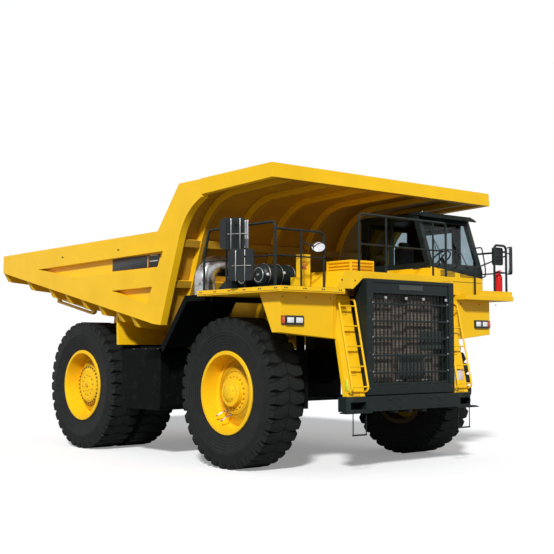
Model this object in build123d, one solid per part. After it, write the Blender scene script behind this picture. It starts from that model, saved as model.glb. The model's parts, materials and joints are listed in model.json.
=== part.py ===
"""Rigid two-axle mining dump truck of the 91-tonne class, at its real size.

Frame: +X is forward, +Y is to the driver's left, +Z is up, in millimetres.
Z = 0 is the ground under the tyres. X = 0 is half-way along the overall
length and Y = 0 is the middle plane of the truck.
"""
import math
import os

from build123d import *

# ---------------------------------------------------------------- driving sizes
HALF_LENGTH = 5145            # the tail lip is this far behind X = 0, the bumper steps ahead of it
HALF_WIDTH = 3140             # out to the mirrors
FRONT_AXLE_X = 2995
REAR_AXLE_X = -1955           # the wheelbase is 4950
TYRE_RADIUS = 1305            # ground to wheel centre
TYRE_BORE = 690               # where the tyre sits on its rim
TYRE_WIDTH = 730
FRONT_WHEEL_Y = 2162.5        # middle of the front tyre
DUAL_PITCH = 813              # middle to middle of a pair of rear tyres
REAR_PAIR_Y = 1750            # middle of a pair of rear tyres
RUNNING_FIT = 0.05            # radial clearance of a pin or spindle
AXLE_Z = TYRE_RADIUS

# frame
RAIL_IN, RAIL_WIDTH = 480, 300    # inner face and width of each frame rail
RAIL_TOP = 2040
RAIL_DEPTH = 590
REAR_ARCH = 200                   # the rails are shallower over the rear axle
RAIL_FRONT, RAIL_REAR = 4550, -3300
RAIL_OUT = RAIL_IN + RAIL_WIDTH
RAIL_BOTTOM = RAIL_TOP - RAIL_DEPTH
RAIL_BOTTOM_REAR = RAIL_BOTTOM + REAR_ARCH
FRONT_PLATE = 40                  # cross plate that closes the rails in front
FRONT_FACE = RAIL_FRONT + FRONT_PLATE

# steering
KINGPIN_Y = 1480
KINGPIN_RADIUS = 110
STEER_ARM = 520                   # kingpin to tie rod pin
ARM_DROP = 115                    # arm's underside pin seat below the wheel centre
TIE_PIN_RADIUS = 35
FRONT_SPINDLE, REAR_SPINDLE = 150, 250    # radii

# dump body
HINGE_X, HINGE_Z = -3490, 2110
HINGE_PIN_RADIUS = 65
HINGE_EYE = 150                   # outer radius of each hinge eye
BODY_HALF = 2765                  # outside of the side walls
SIDE_WALL = 145
BODY_INNER = BODY_HALF - SIDE_WALL
FLOOR_FRONT_X, FLOOR_FRONT_Z = 1143, 2519
TAIL_RISE = 1281                  # the floor climbs this much to the tail
FLOOR_DISH = 230                  # the floor's middle is lower than its edges
FLOOR_PLATE = 25
BODY_PAD_GAP = 8                  # the lowered body's rails clear the frame
CANOPY_FRONT_X = 4578
FLOOR_FRONT = (FLOOR_FRONT_X, FLOOR_FRONT_Z)
FLOOR_TAIL = (-HALF_LENGTH, FLOOR_FRONT_Z + TAIL_RISE)

# decks, cab, nose
DECK_TOP = 3060
DECK_PLATE = 90
DECK_HALF = HALF_WIDTH - 210
GRILLE_DEPTH = 290
GRILLE_REAR = FRONT_FACE + 170    # the radiator and its grille stand ahead of the frame
GRILLE_FRONT = GRILLE_REAR + GRILLE_DEPTH
DECK_FRONT = GRILLE_FRONT - 80
DECK_REAR = DECK_FRONT - 2225
CAB_RIGHT, CAB_WIDTH = 850, 1460
CAB_FRONT = DECK_FRONT - 220
CAB_REAR = CAB_FRONT - 1790
CAB_SILL, CAB_TOP = 3530, 4530
CAB_LEFT = CAB_RIGHT + CAB_WIDTH
DECK_BOTTOM = DECK_TOP - DECK_PLATE
TUBE = 22                         # handrail tube radius
SEAT_GAP = 0.3                    # a piece that rests on another lies this far off

PARTS = {}


# ---------------------------------------------------------------- small helpers
def block(x0, x1, y0, y1, z0, z1):
    """Box between two values on each axis."""
    size = Box(abs(x1 - x0), abs(y1 - y0), abs(z1 - z0))
    return Pos((x0 + x1) / 2, (y0 + y1) / 2, (z0 + z1) / 2) * size


def prism_y(points, y0, y1):
    """Outline of (x, z) points, carried from y0 to y1."""
    outline = Polyline(*[(x, y0, z) for x, z in points], close=True)
    return extrude(make_face(outline.edges()), amount=abs(y1 - y0), dir=(0, 1 if y1 > y0 else -1, 0))


def prism_x(points, x0, x1):
    """Outline of (y, z) points, carried from x0 to x1."""
    outline = Polyline(*[(x0, y, z) for y, z in points], close=True)
    return extrude(make_face(outline.edges()), amount=abs(x1 - x0), dir=(1 if x1 > x0 else -1, 0, 0))


def prism_z(points, z0, z1):
    """Outline of (x, y) points, carried from z0 to z1."""
    outline = Polyline(*[(x, y, z0) for x, y in points], close=True)
    return extrude(make_face(outline.edges()), amount=abs(z1 - z0), dir=(0, 0, 1 if z1 > z0 else -1))


def rod(start, end, radius):
    """Round bar between two points."""
    start, end = Vector(*start), Vector(*end)
    axis = end - start
    return Solid.make_cylinder(radius, axis.length, Plane(origin=start, z_dir=axis))


def disc_y(x, z, radius, y0, y1):
    """Cylinder along Y."""
    return rod((x, y0, z), (x, y1, z), radius)


def bent_tube(points, radius, bend):
    """Tube swept along straight runs with rounded bends."""
    path = FilletPolyline(*points, radius=bend)
    section = Plane(origin=path @ 0, z_dir=path % 0) * Circle(radius)
    return sweep(section, path=path)


def mirrored(shape):
    """The same piece on the other side of the truck."""
    return mirror(shape, about=Plane.XZ)


def on_side(shape_left, side):
    """A piece modelled on the left, kept there or mirrored to the right."""
    return shape_left if side > 0 else mirrored(shape_left)


def keep(name, shape):
    """Store a finished piece under its node name."""
    PARTS[name] = shape


def along(a, b, x):
    """Height at x on the line through points a and b, given as (x, z)."""
    return a[1] + (x - a[0]) * (b[1] - a[1]) / (b[0] - a[0])


SIDES = (("left", 1), ("right", -1))


# ---------------------------------------------------------------- tyres
TREAD_LUGS = 35                   # along each shoulder of a tyre
BEAD_HALF = 300                   # half the width where the tyre meets its rim
TREAD_HALF = 325                  # half the width across the shoulder edges
SIDEWALL_RISE = 350               # bore to the widest ring
NOTCH_SIDE = 120                  # how far below the tread a notch starts on the sidewall
NOTCH_REACH = 235                 # sidewall to a notch's inner tip
NOTCH_SPREAD = 0.385              # half width of a notch over its depth


def tyre_section():
    """Points (offset, radius) round a tyre's section."""
    half = TYRE_WIDTH / 2
    bulge = [(BEAD_HALF, TYRE_BORE), (half, TYRE_BORE + SIDEWALL_RISE), (TREAD_HALF, TYRE_RADIUS)]
    return bulge + [(-u, r) for u, r in reversed(bulge)]


def tyre_blank():
    """Ring of flat facets, one for each lug, standing on a facet at Z = 0."""
    step = 2 * math.pi / TREAD_LUGS
    corners = [-math.pi / 2 + (i - 0.5) * step for i in range(TREAD_LUGS + 1)]
    grow = 1 / math.cos(step / 2)
    section = tyre_section()
    faces = []
    for (u0, r0), (u1, r1) in zip(section, section[1:] + section[:1]):
        for a, b in zip(corners, corners[1:]):
            ring = [(u0, r0, a), (u1, r1, a), (u1, r1, b), (u0, r0, b)]
            points = [(r * grow * math.cos(t), u, r * grow * math.sin(t)) for u, r, t in ring]
            faces.append(make_face(Polyline(*points, close=True).edges()).faces()[0])
    return Solid(Shell(faces))


def tread_notch():
    """Slanted V wedge that cuts one notch at the top of the right-hand shoulder."""
    start_u, start_r = TYRE_WIDTH / 2 + 40, TYRE_RADIUS - NOTCH_SIDE - 40
    slope = (NOTCH_SIDE + 6) / NOTCH_REACH
    run = NOTCH_REACH + 110
    height = 400
    section = [(0, start_u, start_r), (-height * NOTCH_SPREAD, start_u, start_r + height),
               (height * NOTCH_SPREAD, start_u, start_r + height)]
    wedge = make_face(Polyline(*section, close=True).edges())
    return extrude(wedge, amount=math.hypot(run, run * slope), dir=(0, -1, slope))


def build_tyre():
    """Tyre about the origin: the faceted ring with V notches between the lugs of both shoulders."""
    notch = tread_notch()
    step = 360 / TREAD_LUGS
    cutters = []
    for i in range(TREAD_LUGS):
        turn = Rot(0, i * step + 180, 0)
        cutters.append(turn * notch)
        cutters.append(turn * mirrored(notch))
    return tyre_blank().cut(*cutters)


# ---------------------------------------------------------------- rims
RIM_FLANGE = 35                   # height of the rim flange over the tyre's bore
RIM_WALL = 25
FLANGE_LEAN = RIM_FLANGE * (TYRE_WIDTH / 2 - BEAD_HALF) / SIDEWALL_RISE + 0.5     # the flange follows the bead
GUTTER = 20                       # depth of the ring's step under the bore
FRONT_HUB_RADIUS = 240
DISC_SET_BACK = 185               # the front disc sits this far behind the rim's edge
HUB_CAP = 165                     # radius of the domed cap
REAR_HUB_RADIUS = 400             # planetary hub's flat face
BORE_WALL = 80                    # hub wall round a spindle


def turned(profile, x, z, y_centre, side):
    """Ring round the wheel axis: profile points are (offset outward, radius)."""
    outline = Polyline(*[(x, side * (y_centre + u), z + r) for u, r in profile], close=True)
    return revolve(make_face(outline.edges()), axis=Axis((x, 0, z), (0, 1, 0)))


def rim_edge(seat, edge):
    """Outboard flange of a rim, bore seat to outer lip, as (offset, radius) points."""
    return [(edge, TYRE_BORE - GUTTER - 10), (edge, TYRE_BORE + RIM_FLANGE - 8),
            (edge - 8, TYRE_BORE + RIM_FLANGE),
            (seat + FLANGE_LEAN, TYRE_BORE + RIM_FLANGE), (seat, TYRE_BORE)]


def front_rim_profile():
    """Deep dished front rim with its disc, hub and domed cap."""
    seat, edge = BEAD_HALF, BEAD_HALF + RIM_FLANGE
    inner = TYRE_BORE - GUTTER - RIM_WALL
    bore = FRONT_SPINDLE + RUNNING_FIT
    disc = edge - DISC_SET_BACK
    front = [(-200, bore), (200, bore), (200, 0), (302, 0), (298, 60), (286, 110), (262, 150),
             (250, HUB_CAP),
             (246, FRONT_HUB_RADIUS - 12), (234, FRONT_HUB_RADIUS), (disc, FRONT_HUB_RADIUS + 8),
             (disc - 15, 330), (disc - 85, 470), (20, 560), (20, inner), (edge - 90, inner + 8)]
    back = [(-seat, TYRE_BORE), (-seat - FLANGE_LEAN, TYRE_BORE + RIM_FLANGE),
            (-edge, TYRE_BORE + RIM_FLANGE), (-edge, inner),
            (-20, inner - 10), (-20, 545), (disc - 125, 460), (disc - 50, 320),
            (disc - 50, FRONT_HUB_RADIUS),
            (-200, FRONT_HUB_RADIUS)]
    return front + rim_edge(seat, edge) + back


def rear_rim_profile():
    """Both rear rims and the planetary hub in one section about the pair's middle."""
    seat, edge = DUAL_PITCH / 2 + BEAD_HALF, DUAL_PITCH / 2 + BEAD_HALF + RIM_FLANGE
    near = DUAL_PITCH / 2 - BEAD_HALF
    inner = TYRE_BORE - GUTTER - RIM_WALL
    bore = REAR_SPINDLE + RUNNING_FIT
    face = edge - 150
    front = [(-650, bore), (face - 90, bore), (face - 90, 0), (face + 12, 0), (face + 12, 120), (face, 132),
             (face - 4, REAR_HUB_RADIUS - 90), (face - 30, REAR_HUB_RADIUS),
             (face - 95, REAR_HUB_RADIUS + 15),
             (face - 110, 520), (face - 200, 560), (face - 200, inner), (edge - 90, inner + 8)]
    lip = near - FLANGE_LEAN
    middle = [(near, TYRE_BORE), (lip, TYRE_BORE + RIM_FLANGE), (near - RIM_FLANGE, TYRE_BORE + RIM_FLANGE),
              (near - RIM_FLANGE, TYRE_BORE + 10), (RIM_FLANGE - near, TYRE_BORE + 10),
              (RIM_FLANGE - near, TYRE_BORE + RIM_FLANGE), (-lip, TYRE_BORE + RIM_FLANGE),
              (-near, TYRE_BORE)]
    back = [(-seat, TYRE_BORE), (-seat - FLANGE_LEAN, TYRE_BORE + RIM_FLANGE),
            (-edge, TYRE_BORE + RIM_FLANGE), (-edge, inner),
            (face - 240, inner), (face - 240, 530), (face - 150, 470), (face - 150, bore + BORE_WALL),
            (-650, bore + BORE_WALL)]
    return front + rim_edge(seat, edge) + middle + back


def build_wheels():
    tyre = build_tyre()
    front, rear = front_rim_profile(), rear_rim_profile()
    for name, side in SIDES:
        keep(f"tyre_front_{name}", Pos(FRONT_AXLE_X, side * FRONT_WHEEL_Y, AXLE_Z) * tyre)
        keep(f"rim_front_{name}", turned(front, FRONT_AXLE_X, AXLE_Z, FRONT_WHEEL_Y, side))
        pair = [Pos(REAR_AXLE_X, side * (REAR_PAIR_Y + shift), AXLE_Z) * tyre
                for shift in (-DUAL_PITCH / 2, DUAL_PITCH / 2)]
        keep(f"tyres_rear_{name}", Compound(children=pair))
        keep(f"rim_rear_{name}", turned(rear, REAR_AXLE_X, AXLE_Z, REAR_PAIR_Y, side))


# ---------------------------------------------------------------- steering and axles
COLLAR_LOW, COLLAR_HIGH = 175, 395    # knuckle's collar below and above the wheel centre
COLLAR_WALL = 100
BRAKE_RADIUS = 500
STRUT_GAP = 15                        # collar to the seats of the strut
STRUT_SEAT = 135                      # thickness of the lower seat
STRUT_RADIUS, STRUT_TOP = 185, 2480
ARM_DEPTH = 90
TIE_ROD_RADIUS = 42
TIE_EYE_RADIUS = 78
TIE_EYE_DEPTH = 87


def build_knuckle():
    """Left knuckle: collar on the kingpin, spindle, brake and steering arm."""
    x, y, z = FRONT_AXLE_X, KINGPIN_Y, AXLE_Z
    reach = KINGPIN_RADIUS + COLLAR_WALL
    collar = rod((x, y, z - COLLAR_LOW), (x, y, z + COLLAR_HIGH), reach)
    spindle = disc_y(x, z, FRONT_SPINDLE, y, FRONT_WHEEL_Y + 190)
    brake = disc_y(x, z, BRAKE_RADIUS, FRONT_WHEEL_Y - 440, FRONT_WHEEL_Y - 212)
    neck = disc_y(x, z, FRONT_SPINDLE + 30, y + 60, FRONT_WHEEL_Y - 432)
    seat = z - ARM_DROP
    arm = block(x - STEER_ARM, x - reach + 90, y - 65, y + 65, seat - 10, seat - 10 + ARM_DEPTH)
    arm_end = rod((x - STEER_ARM, y, seat - 10), (x - STEER_ARM, y, seat - 10 + ARM_DEPTH),
                  TIE_EYE_RADIUS + 2)
    pin = rod((x - STEER_ARM, y, seat - 15 - TIE_EYE_DEPTH - 28), (x - STEER_ARM, y, seat), TIE_PIN_RADIUS)
    bore = rod((x, y, z - COLLAR_LOW - 30), (x, y, z + COLLAR_HIGH + 50), KINGPIN_RADIUS + RUNNING_FIT)
    return collar + spindle + neck + brake + arm + arm_end + pin - bore


def build_front_strut():
    """Left front suspension: bracket on the rail, lower arm, kingpin and gas cylinder."""
    x, y, z = FRONT_AXLE_X, KINGPIN_Y, AXLE_Z
    low = z - COLLAR_LOW - STRUT_GAP
    high = z + COLLAR_HIGH + 120
    plate = block(x - 220, x + 220, RAIL_OUT, RAIL_OUT + 80, low - STRUT_SEAT, RAIL_TOP)
    wedge = [(x - 140, low - STRUT_SEAT), (x + 140, low - STRUT_SEAT), (x + 140, low), (x - 140, low)]
    lower = prism_y(wedge, RAIL_OUT, y) + rod((x, y, low - STRUT_SEAT), (x, y, low), KINGPIN_RADIUS + 50)
    upper = block(x - 180, x + 180, RAIL_OUT, y, high, RAIL_TOP)
    upper = upper + rod((x, y, high), (x, y, STRUT_TOP), STRUT_RADIUS)
    kingpin = rod((x, y, low - STRUT_SEAT + 20), (x, y, high + 80), KINGPIN_RADIUS)
    cap = rod((x, y, STRUT_TOP), (x, y, STRUT_TOP + 60), STRUT_RADIUS - 65)
    return plate + lower + upper + kingpin + cap


def build_steering():
    knuckle = build_knuckle()
    strut = build_front_strut()
    for name, side in SIDES:
        keep(f"knuckle_{name}", on_side(knuckle, side))
    keep("front_struts", Compound(children=[strut, mirrored(strut)]))
    x = FRONT_AXLE_X - STEER_ARM
    top = AXLE_Z - ARM_DROP - 20
    z = top - TIE_EYE_DEPTH / 2
    bar = rod((x, 60 - KINGPIN_Y, z), (x, KINGPIN_Y - 60, z), TIE_ROD_RADIUS)
    for side in (1, -1):
        y = side * KINGPIN_Y
        bar = bar + rod((x, y, top - TIE_EYE_DEPTH), (x, y, top), TIE_EYE_RADIUS)
    for side in (1, -1):
        y = side * KINGPIN_Y
        bar = bar - rod((x, y, top - 2 * TIE_EYE_DEPTH), (x, y, top + 80), TIE_PIN_RADIUS + RUNNING_FIT)
    keep("tie_rod", bar)


AXLE_TUBE, AXLE_DIFF = 320, 460       # radii of the housing and of its swollen middle
REAR_BRAKE = 560


def build_rear_axle():
    """Axle housing, brakes, spindles, two trailing arms and two suspension cylinders."""
    x, z = REAR_AXLE_X, AXLE_Z
    inner_end = REAR_PAIR_Y - 900
    profile = [(inner_end + 10, 0), (inner_end + 10, AXLE_TUBE), (AXLE_DIFF, AXLE_TUBE),
               (330, AXLE_TUBE + 60),
               (200, AXLE_DIFF - 25), (80, AXLE_DIFF)]
    section = profile + [(-y, r) for y, r in reversed(profile)]
    outline = Polyline(*[(x, y, z + r) for y, r in section], close=True)
    axle = revolve(make_face(outline.edges()), axis=Axis((x, 0, z), (0, 1, 0)))
    axle = axle + rod((x, 0, z), (x + 620, 0, z), 170)
    for side in (1, -1):
        axle = axle + disc_y(x, z, REAR_BRAKE, side * inner_end, side * (inner_end + 230))
        axle = axle + disc_y(x, z, REAR_SPINDLE, side * (inner_end + 150), side * (REAR_PAIR_Y + 490))
        arm = [(x, z - 130), (x + 1500, z + 240), (x + 1700, z + 240), (x + 1700, z + 480), (x, z + 130)]
        axle = axle + prism_y(arm, side * (RAIL_IN - 140), side * RAIL_IN)
        lug = [(x - 740, z - 220), (x, z - 220), (x, z + 60), (x - 740, z - 60)]
        middle = side * (RAIL_IN + RAIL_WIDTH / 2)
        axle = axle + prism_y(lug, middle - side * 110, middle + side * 110)
        axle = axle + rod((x - 620, middle, z - 100), (x - 620, middle, RAIL_BOTTOM_REAR), 105)
    keep("rear_axle", axle)


# ---------------------------------------------------------------- frame and drive line
HOIST_Y = 215                     # each hoist cylinder, either side of the middle
HOIST_LOW_X, HOIST_LOW_Z = -600, 1050      # pin on the frame
HOIST_HIGH_X, HOIST_HIGH_Z = -1700, 2500   # pin on the body, body down
HOIST_PIN_RADIUS = 50
HANGER_PLATE = 60
BUMPER_REAR = FRONT_FACE + 240
BUMPER_FRONT = BUMPER_REAR + 280
BUMPER_LOW, BUMPER_HIGH = 1030, 1280
TOW_EYE_X, TOW_EYE_Z, TOW_EYE_RADIUS = FRONT_FACE + 110, 950, 40
ENGINE_REAR, ENGINE_FRONT = RAIL_FRONT - 1800, RAIL_FRONT - 70
ENGINE_HALF = 430
GEARBOX_REAR, GEARBOX_FRONT = 300, 1700
TOW_LUG = 60                      # thickness of each front lug and of the rear plate
REAR_TOW_DROP = 190               # rear tow plate's middle below the rail top
EAR_PLATE = 80                    # hinge plate of the frame, in the middle of its rail
PORTAL_DEPTH = 90
CROSSMEMBERS = [                  # rear face, front face, drop of the top below the rails, depth
    (RAIL_REAR, RAIL_REAR + 220, 40, 300), (-120, 80, 40, 300), (1900, 2100, 40, 250)]
HOIST_LOW = (HOIST_LOW_X, HOIST_LOW_Z)
HOIST_HIGH = (HOIST_HIGH_X, HOIST_HIGH_Z)
RAIL_MIDDLE = RAIL_IN + RAIL_WIDTH / 2
LADDER_IN, LADDER_WIDTH = 1120, 410
LADDER_OUT = LADDER_IN + LADDER_WIDTH


def build_frame():
    """Two rails with hanger plates and hinge ears, the cross members and the deck portals."""
    hx, hz = HOIST_LOW
    rail = [(RAIL_REAR, RAIL_TOP), (RAIL_FRONT, RAIL_TOP), (RAIL_FRONT, RAIL_BOTTOM), (-300, RAIL_BOTTOM),
            (-900, RAIL_BOTTOM_REAR), (RAIL_REAR, RAIL_BOTTOM_REAR)]
    hanger = [(hx - 220, RAIL_BOTTOM + 230), (hx + 220, RAIL_BOTTOM + 70), (hx + 80, hz - 90),
              (hx - 80, hz - 90)]
    ear = [(HINGE_X - 70, HINGE_Z - 135), (RAIL_REAR + 20, RAIL_BOTTOM_REAR + 50),
           (RAIL_REAR + 20, RAIL_TOP),
           (HINGE_X + 130, HINGE_Z + 80), (HINGE_X, HINGE_Z + 145)]
    y0, y1 = RAIL_MIDDLE - EAR_PLATE / 2, RAIL_MIDDLE + EAR_PLATE / 2
    rails = []
    for side in (1, -1):
        beam = prism_y(rail, side * RAIL_IN, side * RAIL_OUT)
        beam = beam + prism_y(hanger, side * RAIL_IN, side * (RAIL_IN + HANGER_PLATE))
        beam = beam + prism_y(ear, side * y0, side * y1)
        beam = beam + disc_y(HINGE_X, HINGE_Z, HINGE_EYE, side * y0, side * y1)
        rails.append(beam + disc_y(HINGE_X, HINGE_Z, HINGE_PIN_RADIUS, side * (y0 - 90), side * (y1 + 95)))
    keep("frame_rails", Compound(children=rails))

    members = [block(x0, x1, -RAIL_IN, RAIL_IN, RAIL_TOP - drop - depth, RAIL_TOP - drop)
               for x0, x1, drop, depth in CROSSMEMBERS]
    tow_z = RAIL_TOP - REAR_TOW_DROP
    tow_plate = block(RAIL_REAR - 200, RAIL_REAR + 20, -130, 130, tow_z - TOW_LUG / 2, tow_z + TOW_LUG / 2)
    eye = rod((RAIL_REAR - 120, 0, tow_z - TOW_LUG), (RAIL_REAR - 120, 0, tow_z + TOW_LUG), TOW_EYE_RADIUS)
    members[0] = members[0] + tow_plate - eye
    front = block(RAIL_FRONT, FRONT_FACE, -RAIL_OUT - 120, RAIL_OUT + 120, BUMPER_LOW + 20, RAIL_TOP)
    for side in (1, -1):
        front = front + block(FRONT_FACE, BUMPER_REAR, side * RAIL_IN, side * RAIL_OUT, BUMPER_LOW + 20,
                              BUMPER_HIGH + 10)
        lug = block(TOW_EYE_X - 80, TOW_EYE_X + 80, side * (RAIL_MIDDLE - TOW_LUG / 2),
                    side * (RAIL_MIDDLE + TOW_LUG / 2), TOW_EYE_Z - 70, BUMPER_LOW + 20)
        lug = lug - disc_y(TOW_EYE_X, TOW_EYE_Z, TOW_EYE_RADIUS, side * (RAIL_MIDDLE - TOW_LUG),
                           side * (RAIL_MIDDLE + TOW_LUG))
        front = front + lug
    members.append(front)
    members.append(disc_y(hx, hz, HOIST_PIN_RADIUS, -RAIL_IN, RAIL_IN))
    keep("frame_crossmembers", Compound(children=members))

    portals = []
    under = DECK_BOTTOM - PORTAL_DEPTH
    for x, half in ((DECK_REAR + 55, DECK_HALF - 230), (DECK_FRONT - 670, LADDER_OUT - 10)):
        portal = block(x, x + 100, -half, half, under, DECK_BOTTOM)
        for side in (1, -1):
            portal = portal + block(x, x + 100, side * (RAIL_MIDDLE - 50), side * (RAIL_MIDDLE + 70),
                                    RAIL_TOP, under)
        portals.append(portal)
    keep("deck_supports", Compound(children=portals))


def build_drive():
    """Engine, gearbox and shafts, as plain masses between the rails."""
    mount_z = RAIL_BOTTOM + 150
    engine = block(ENGINE_REAR, ENGINE_FRONT, -ENGINE_HALF, ENGINE_HALF, RAIL_BOTTOM + 30,
                   DECK_BOTTOM - 110)
    engine = engine + block(ENGINE_REAR + 250, ENGINE_REAR + 450, -RAIL_IN, RAIL_IN, mount_z, mount_z + 150)
    keep("engine_block", engine)
    half = ENGINE_HALF - 50
    gearbox = block(GEARBOX_REAR, GEARBOX_FRONT, -half, half, RAIL_BOTTOM - 150, RAIL_TOP - 90)
    gearbox = gearbox + block(GEARBOX_FRONT - 800, GEARBOX_FRONT - 600, -RAIL_IN, RAIL_IN, mount_z,
                              mount_z + 150)
    shaft = rod((GEARBOX_FRONT, 0, RAIL_BOTTOM + 200), (ENGINE_REAR, 0, RAIL_BOTTOM + 200), 85)
    rear_shaft = rod((GEARBOX_REAR, 0, RAIL_BOTTOM + 30), (REAR_AXLE_X + 600, 0, AXLE_Z), 70)
    rear_shaft = rear_shaft - rod((REAR_AXLE_X, 0, AXLE_Z), (REAR_AXLE_X + 620, 0, AXLE_Z), 170)
    keep("gearbox", gearbox + shaft + rear_shaft)


# ---------------------------------------------------------------- dump body
SLOPE = math.atan2(TAIL_RISE, FLOOR_FRONT_X + HALF_LENGTH)
REARWARD = (-math.cos(SLOPE), 0, math.sin(SLOPE))   # along the floor, towards the tail
RIB_DEPTH = 190
RIB_WIDTH = 120
RIB_TAPER = 110                   # each rib's lower edge is shorter by this
BODY_RAIL_Y, BODY_RAIL_WIDTH = 500, 260
BODY_EYE_PLATE = 75
BEYOND = 8000                     # longer than the truck, for cutting tools

RIB_STATIONS = [-3880, -2870, -2160, -1470, -790, -100, 440]   # front faces, X
HEAD_RIBS = 6                     # upright ribs on the front wall
HEAD_RIB_PITCH, HEAD_RIB_WIDTH = 880, 90
FRONT_PLATE_THICK = 24
# The front wall leans forward, bends and runs on as the canopy. Each line is given by
# its foot, the corner that the bend rounds and its front end, as (x, z), and the bend's radius.
LEAN_FOOT, LEAN_CORNER, LEAN_END = (37, -219), (886, 2367), (3435, 2450)      # from FLOOR_FRONT
RIB_FOOT, RIB_CORNER, RIB_END = (187, -119), (1065, 2238), (3435, 2322)
LEAN_BEND, RIB_BEND = 1215, 1120
CANOPY_SEAM = 1477                # where the canopy starts, ahead of FLOOR_FRONT
SHOULDER = (120, 1715)            # top rail's foot of the canopy side, from FLOOR_FRONT
CANOPY_KNEE = (804, 2525)
CANOPY_TOP_RISE = 2566            # highest line of the canopy above FLOOR_FRONT
TOP_RAIL = 390                    # height of the side wall at the tail


def from_front(point):
    """A point given from the low front corner of the side wall."""
    return FLOOR_FRONT_X + point[0], FLOOR_FRONT_Z + point[1]


def bent_band(line_a, bend_a, line_b, bend_b, y0, y1):
    """Wall between two bent lines of (x, z) points, carried from y0 to y1."""
    near = FilletPolyline(*[(x, y0, z) for x, z in line_a], radius=bend_a)
    far = FilletPolyline(*[(x, y0, z) for x, z in line_b], radius=bend_b)
    edges = near.edges() + far.edges() + [Line(near @ 0, far @ 0), Line(near @ 1, far @ 1)]
    return extrude(make_face(edges), amount=abs(y1 - y0), dir=(0, 1 if y1 > y0 else -1, 0))


def floor_band(x_front, length, low, high, half, taper=0):
    """Length of the dished floor's shape, between two heights over its edge line."""
    z = along(FLOOR_FRONT, FLOOR_TAIL, x_front)
    flat = [(half, z), (BODY_INNER, z)] if half > BODY_INNER else [(half, z)]
    left = flat + [(0, z - FLOOR_DISH)]
    line = left + [(-y, h) for y, h in reversed(flat)]
    below = [(math.copysign(max(abs(y) - taper, 0), y) if abs(y) == half else y, h) for y, h in line]
    if taper and half > BODY_INNER:
        below = [below[0], below[2], below[4]]
    outline = [(y, h + high) for y, h in line] + [(y, h + low) for y, h in reversed(below)]
    face = make_face(Polyline(*[(x_front, y, h) for y, h in outline], close=True).edges())
    return extrude(face, amount=length / math.cos(SLOPE), dir=REARWARD)


def build_body_floor():
    """Dished floor plate, the cross ribs under it, and the two long rails with their ears."""
    lead = 97                     # the floor plate reaches ahead of the side walls' corner
    keep("body_floor", floor_band(FLOOR_FRONT_X + lead, FLOOR_FRONT_X + lead + HALF_LENGTH, 0, FLOOR_PLATE,
                                  BODY_INNER))
    ribs = [floor_band(95 - HALF_LENGTH, 95, -RIB_DEPTH, 0, BODY_HALF - 20, RIB_TAPER)]
    for x in RIB_STATIONS:
        ribs.append(floor_band(x, RIB_WIDTH, -RIB_DEPTH, 0, BODY_HALF - 20, RIB_TAPER))
    keep("body_ribs", Compound(children=ribs))
    above = floor_band(FLOOR_FRONT_X + 500, BEYOND, 0, 3000, BODY_INNER)
    foot = RAIL_TOP + BODY_PAD_GAP
    tail = HINGE_X + 220
    bolster = [(FLOOR_FRONT_X, foot), (FLOOR_FRONT_X, foot + 1550), (tail, foot + 1550), (tail, foot)]
    ear = [(HINGE_X - 130, HINGE_Z + 80), (HINGE_X + 70, HINGE_Z + 1390), (HINGE_X + 590, HINGE_Z + 1390),
           (HINGE_X + 590, HINGE_Z + 190), (HINGE_X + 225, foot + 12), (HINGE_X + 110, HINGE_Z - 100)]
    hx, hz = HOIST_HIGH
    hoist_ear = [(hx + 110, hz - 40), (hx + 40, hz - 110), (hx - 40, hz - 110), (hx - 110, hz - 40),
                 (hx - 250, hz + 700), (hx + 250, hz + 700)]
    y_out = BODY_RAIL_Y + BODY_RAIL_WIDTH
    bracket = block(hx - 60, hx + 60, -BODY_RAIL_Y, BODY_RAIL_Y, hz + 290, hz + 400)
    pieces = []
    for side in (1, -1):
        beam = prism_y(bolster, side * BODY_RAIL_Y, side * y_out)
        for y0, y1 in ((BODY_RAIL_Y, BODY_RAIL_Y + BODY_EYE_PLATE), (y_out - BODY_EYE_PLATE, y_out)):
            plate = prism_y(ear, side * y0, side * y1)
            beam = beam + plate + disc_y(HINGE_X, HINGE_Z, HINGE_EYE, side * y0, side * y1)
        beam = beam - above
        for rib in ribs:
            beam = beam - rib
        pieces.append(beam - disc_y(HINGE_X, HINGE_Z, HINGE_PIN_RADIUS + RUNNING_FIT,
                                    side * (BODY_RAIL_Y - 20),
                                    side * (y_out + 20)))
        for y in (HOIST_Y - 100, HOIST_Y + 75):
            bracket = bracket + prism_y(hoist_ear, side * y, side * (y + 25))
    bracket = bracket - above
    for rib in ribs:
        bracket = bracket - rib
    keep("body_rails", Compound(children=pieces + [bracket]))


RECESS_SKIN = 30                  # what is left of the wall behind a side recess
UPPER_RECESS = [(-4556, 1267), (294, 1335), (173, 1047), (-2920, 1015)]    # from FLOOR_FRONT
LOWER_RECESS = [(-1479, 675), (-54, 693), (-222, 390)]


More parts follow.
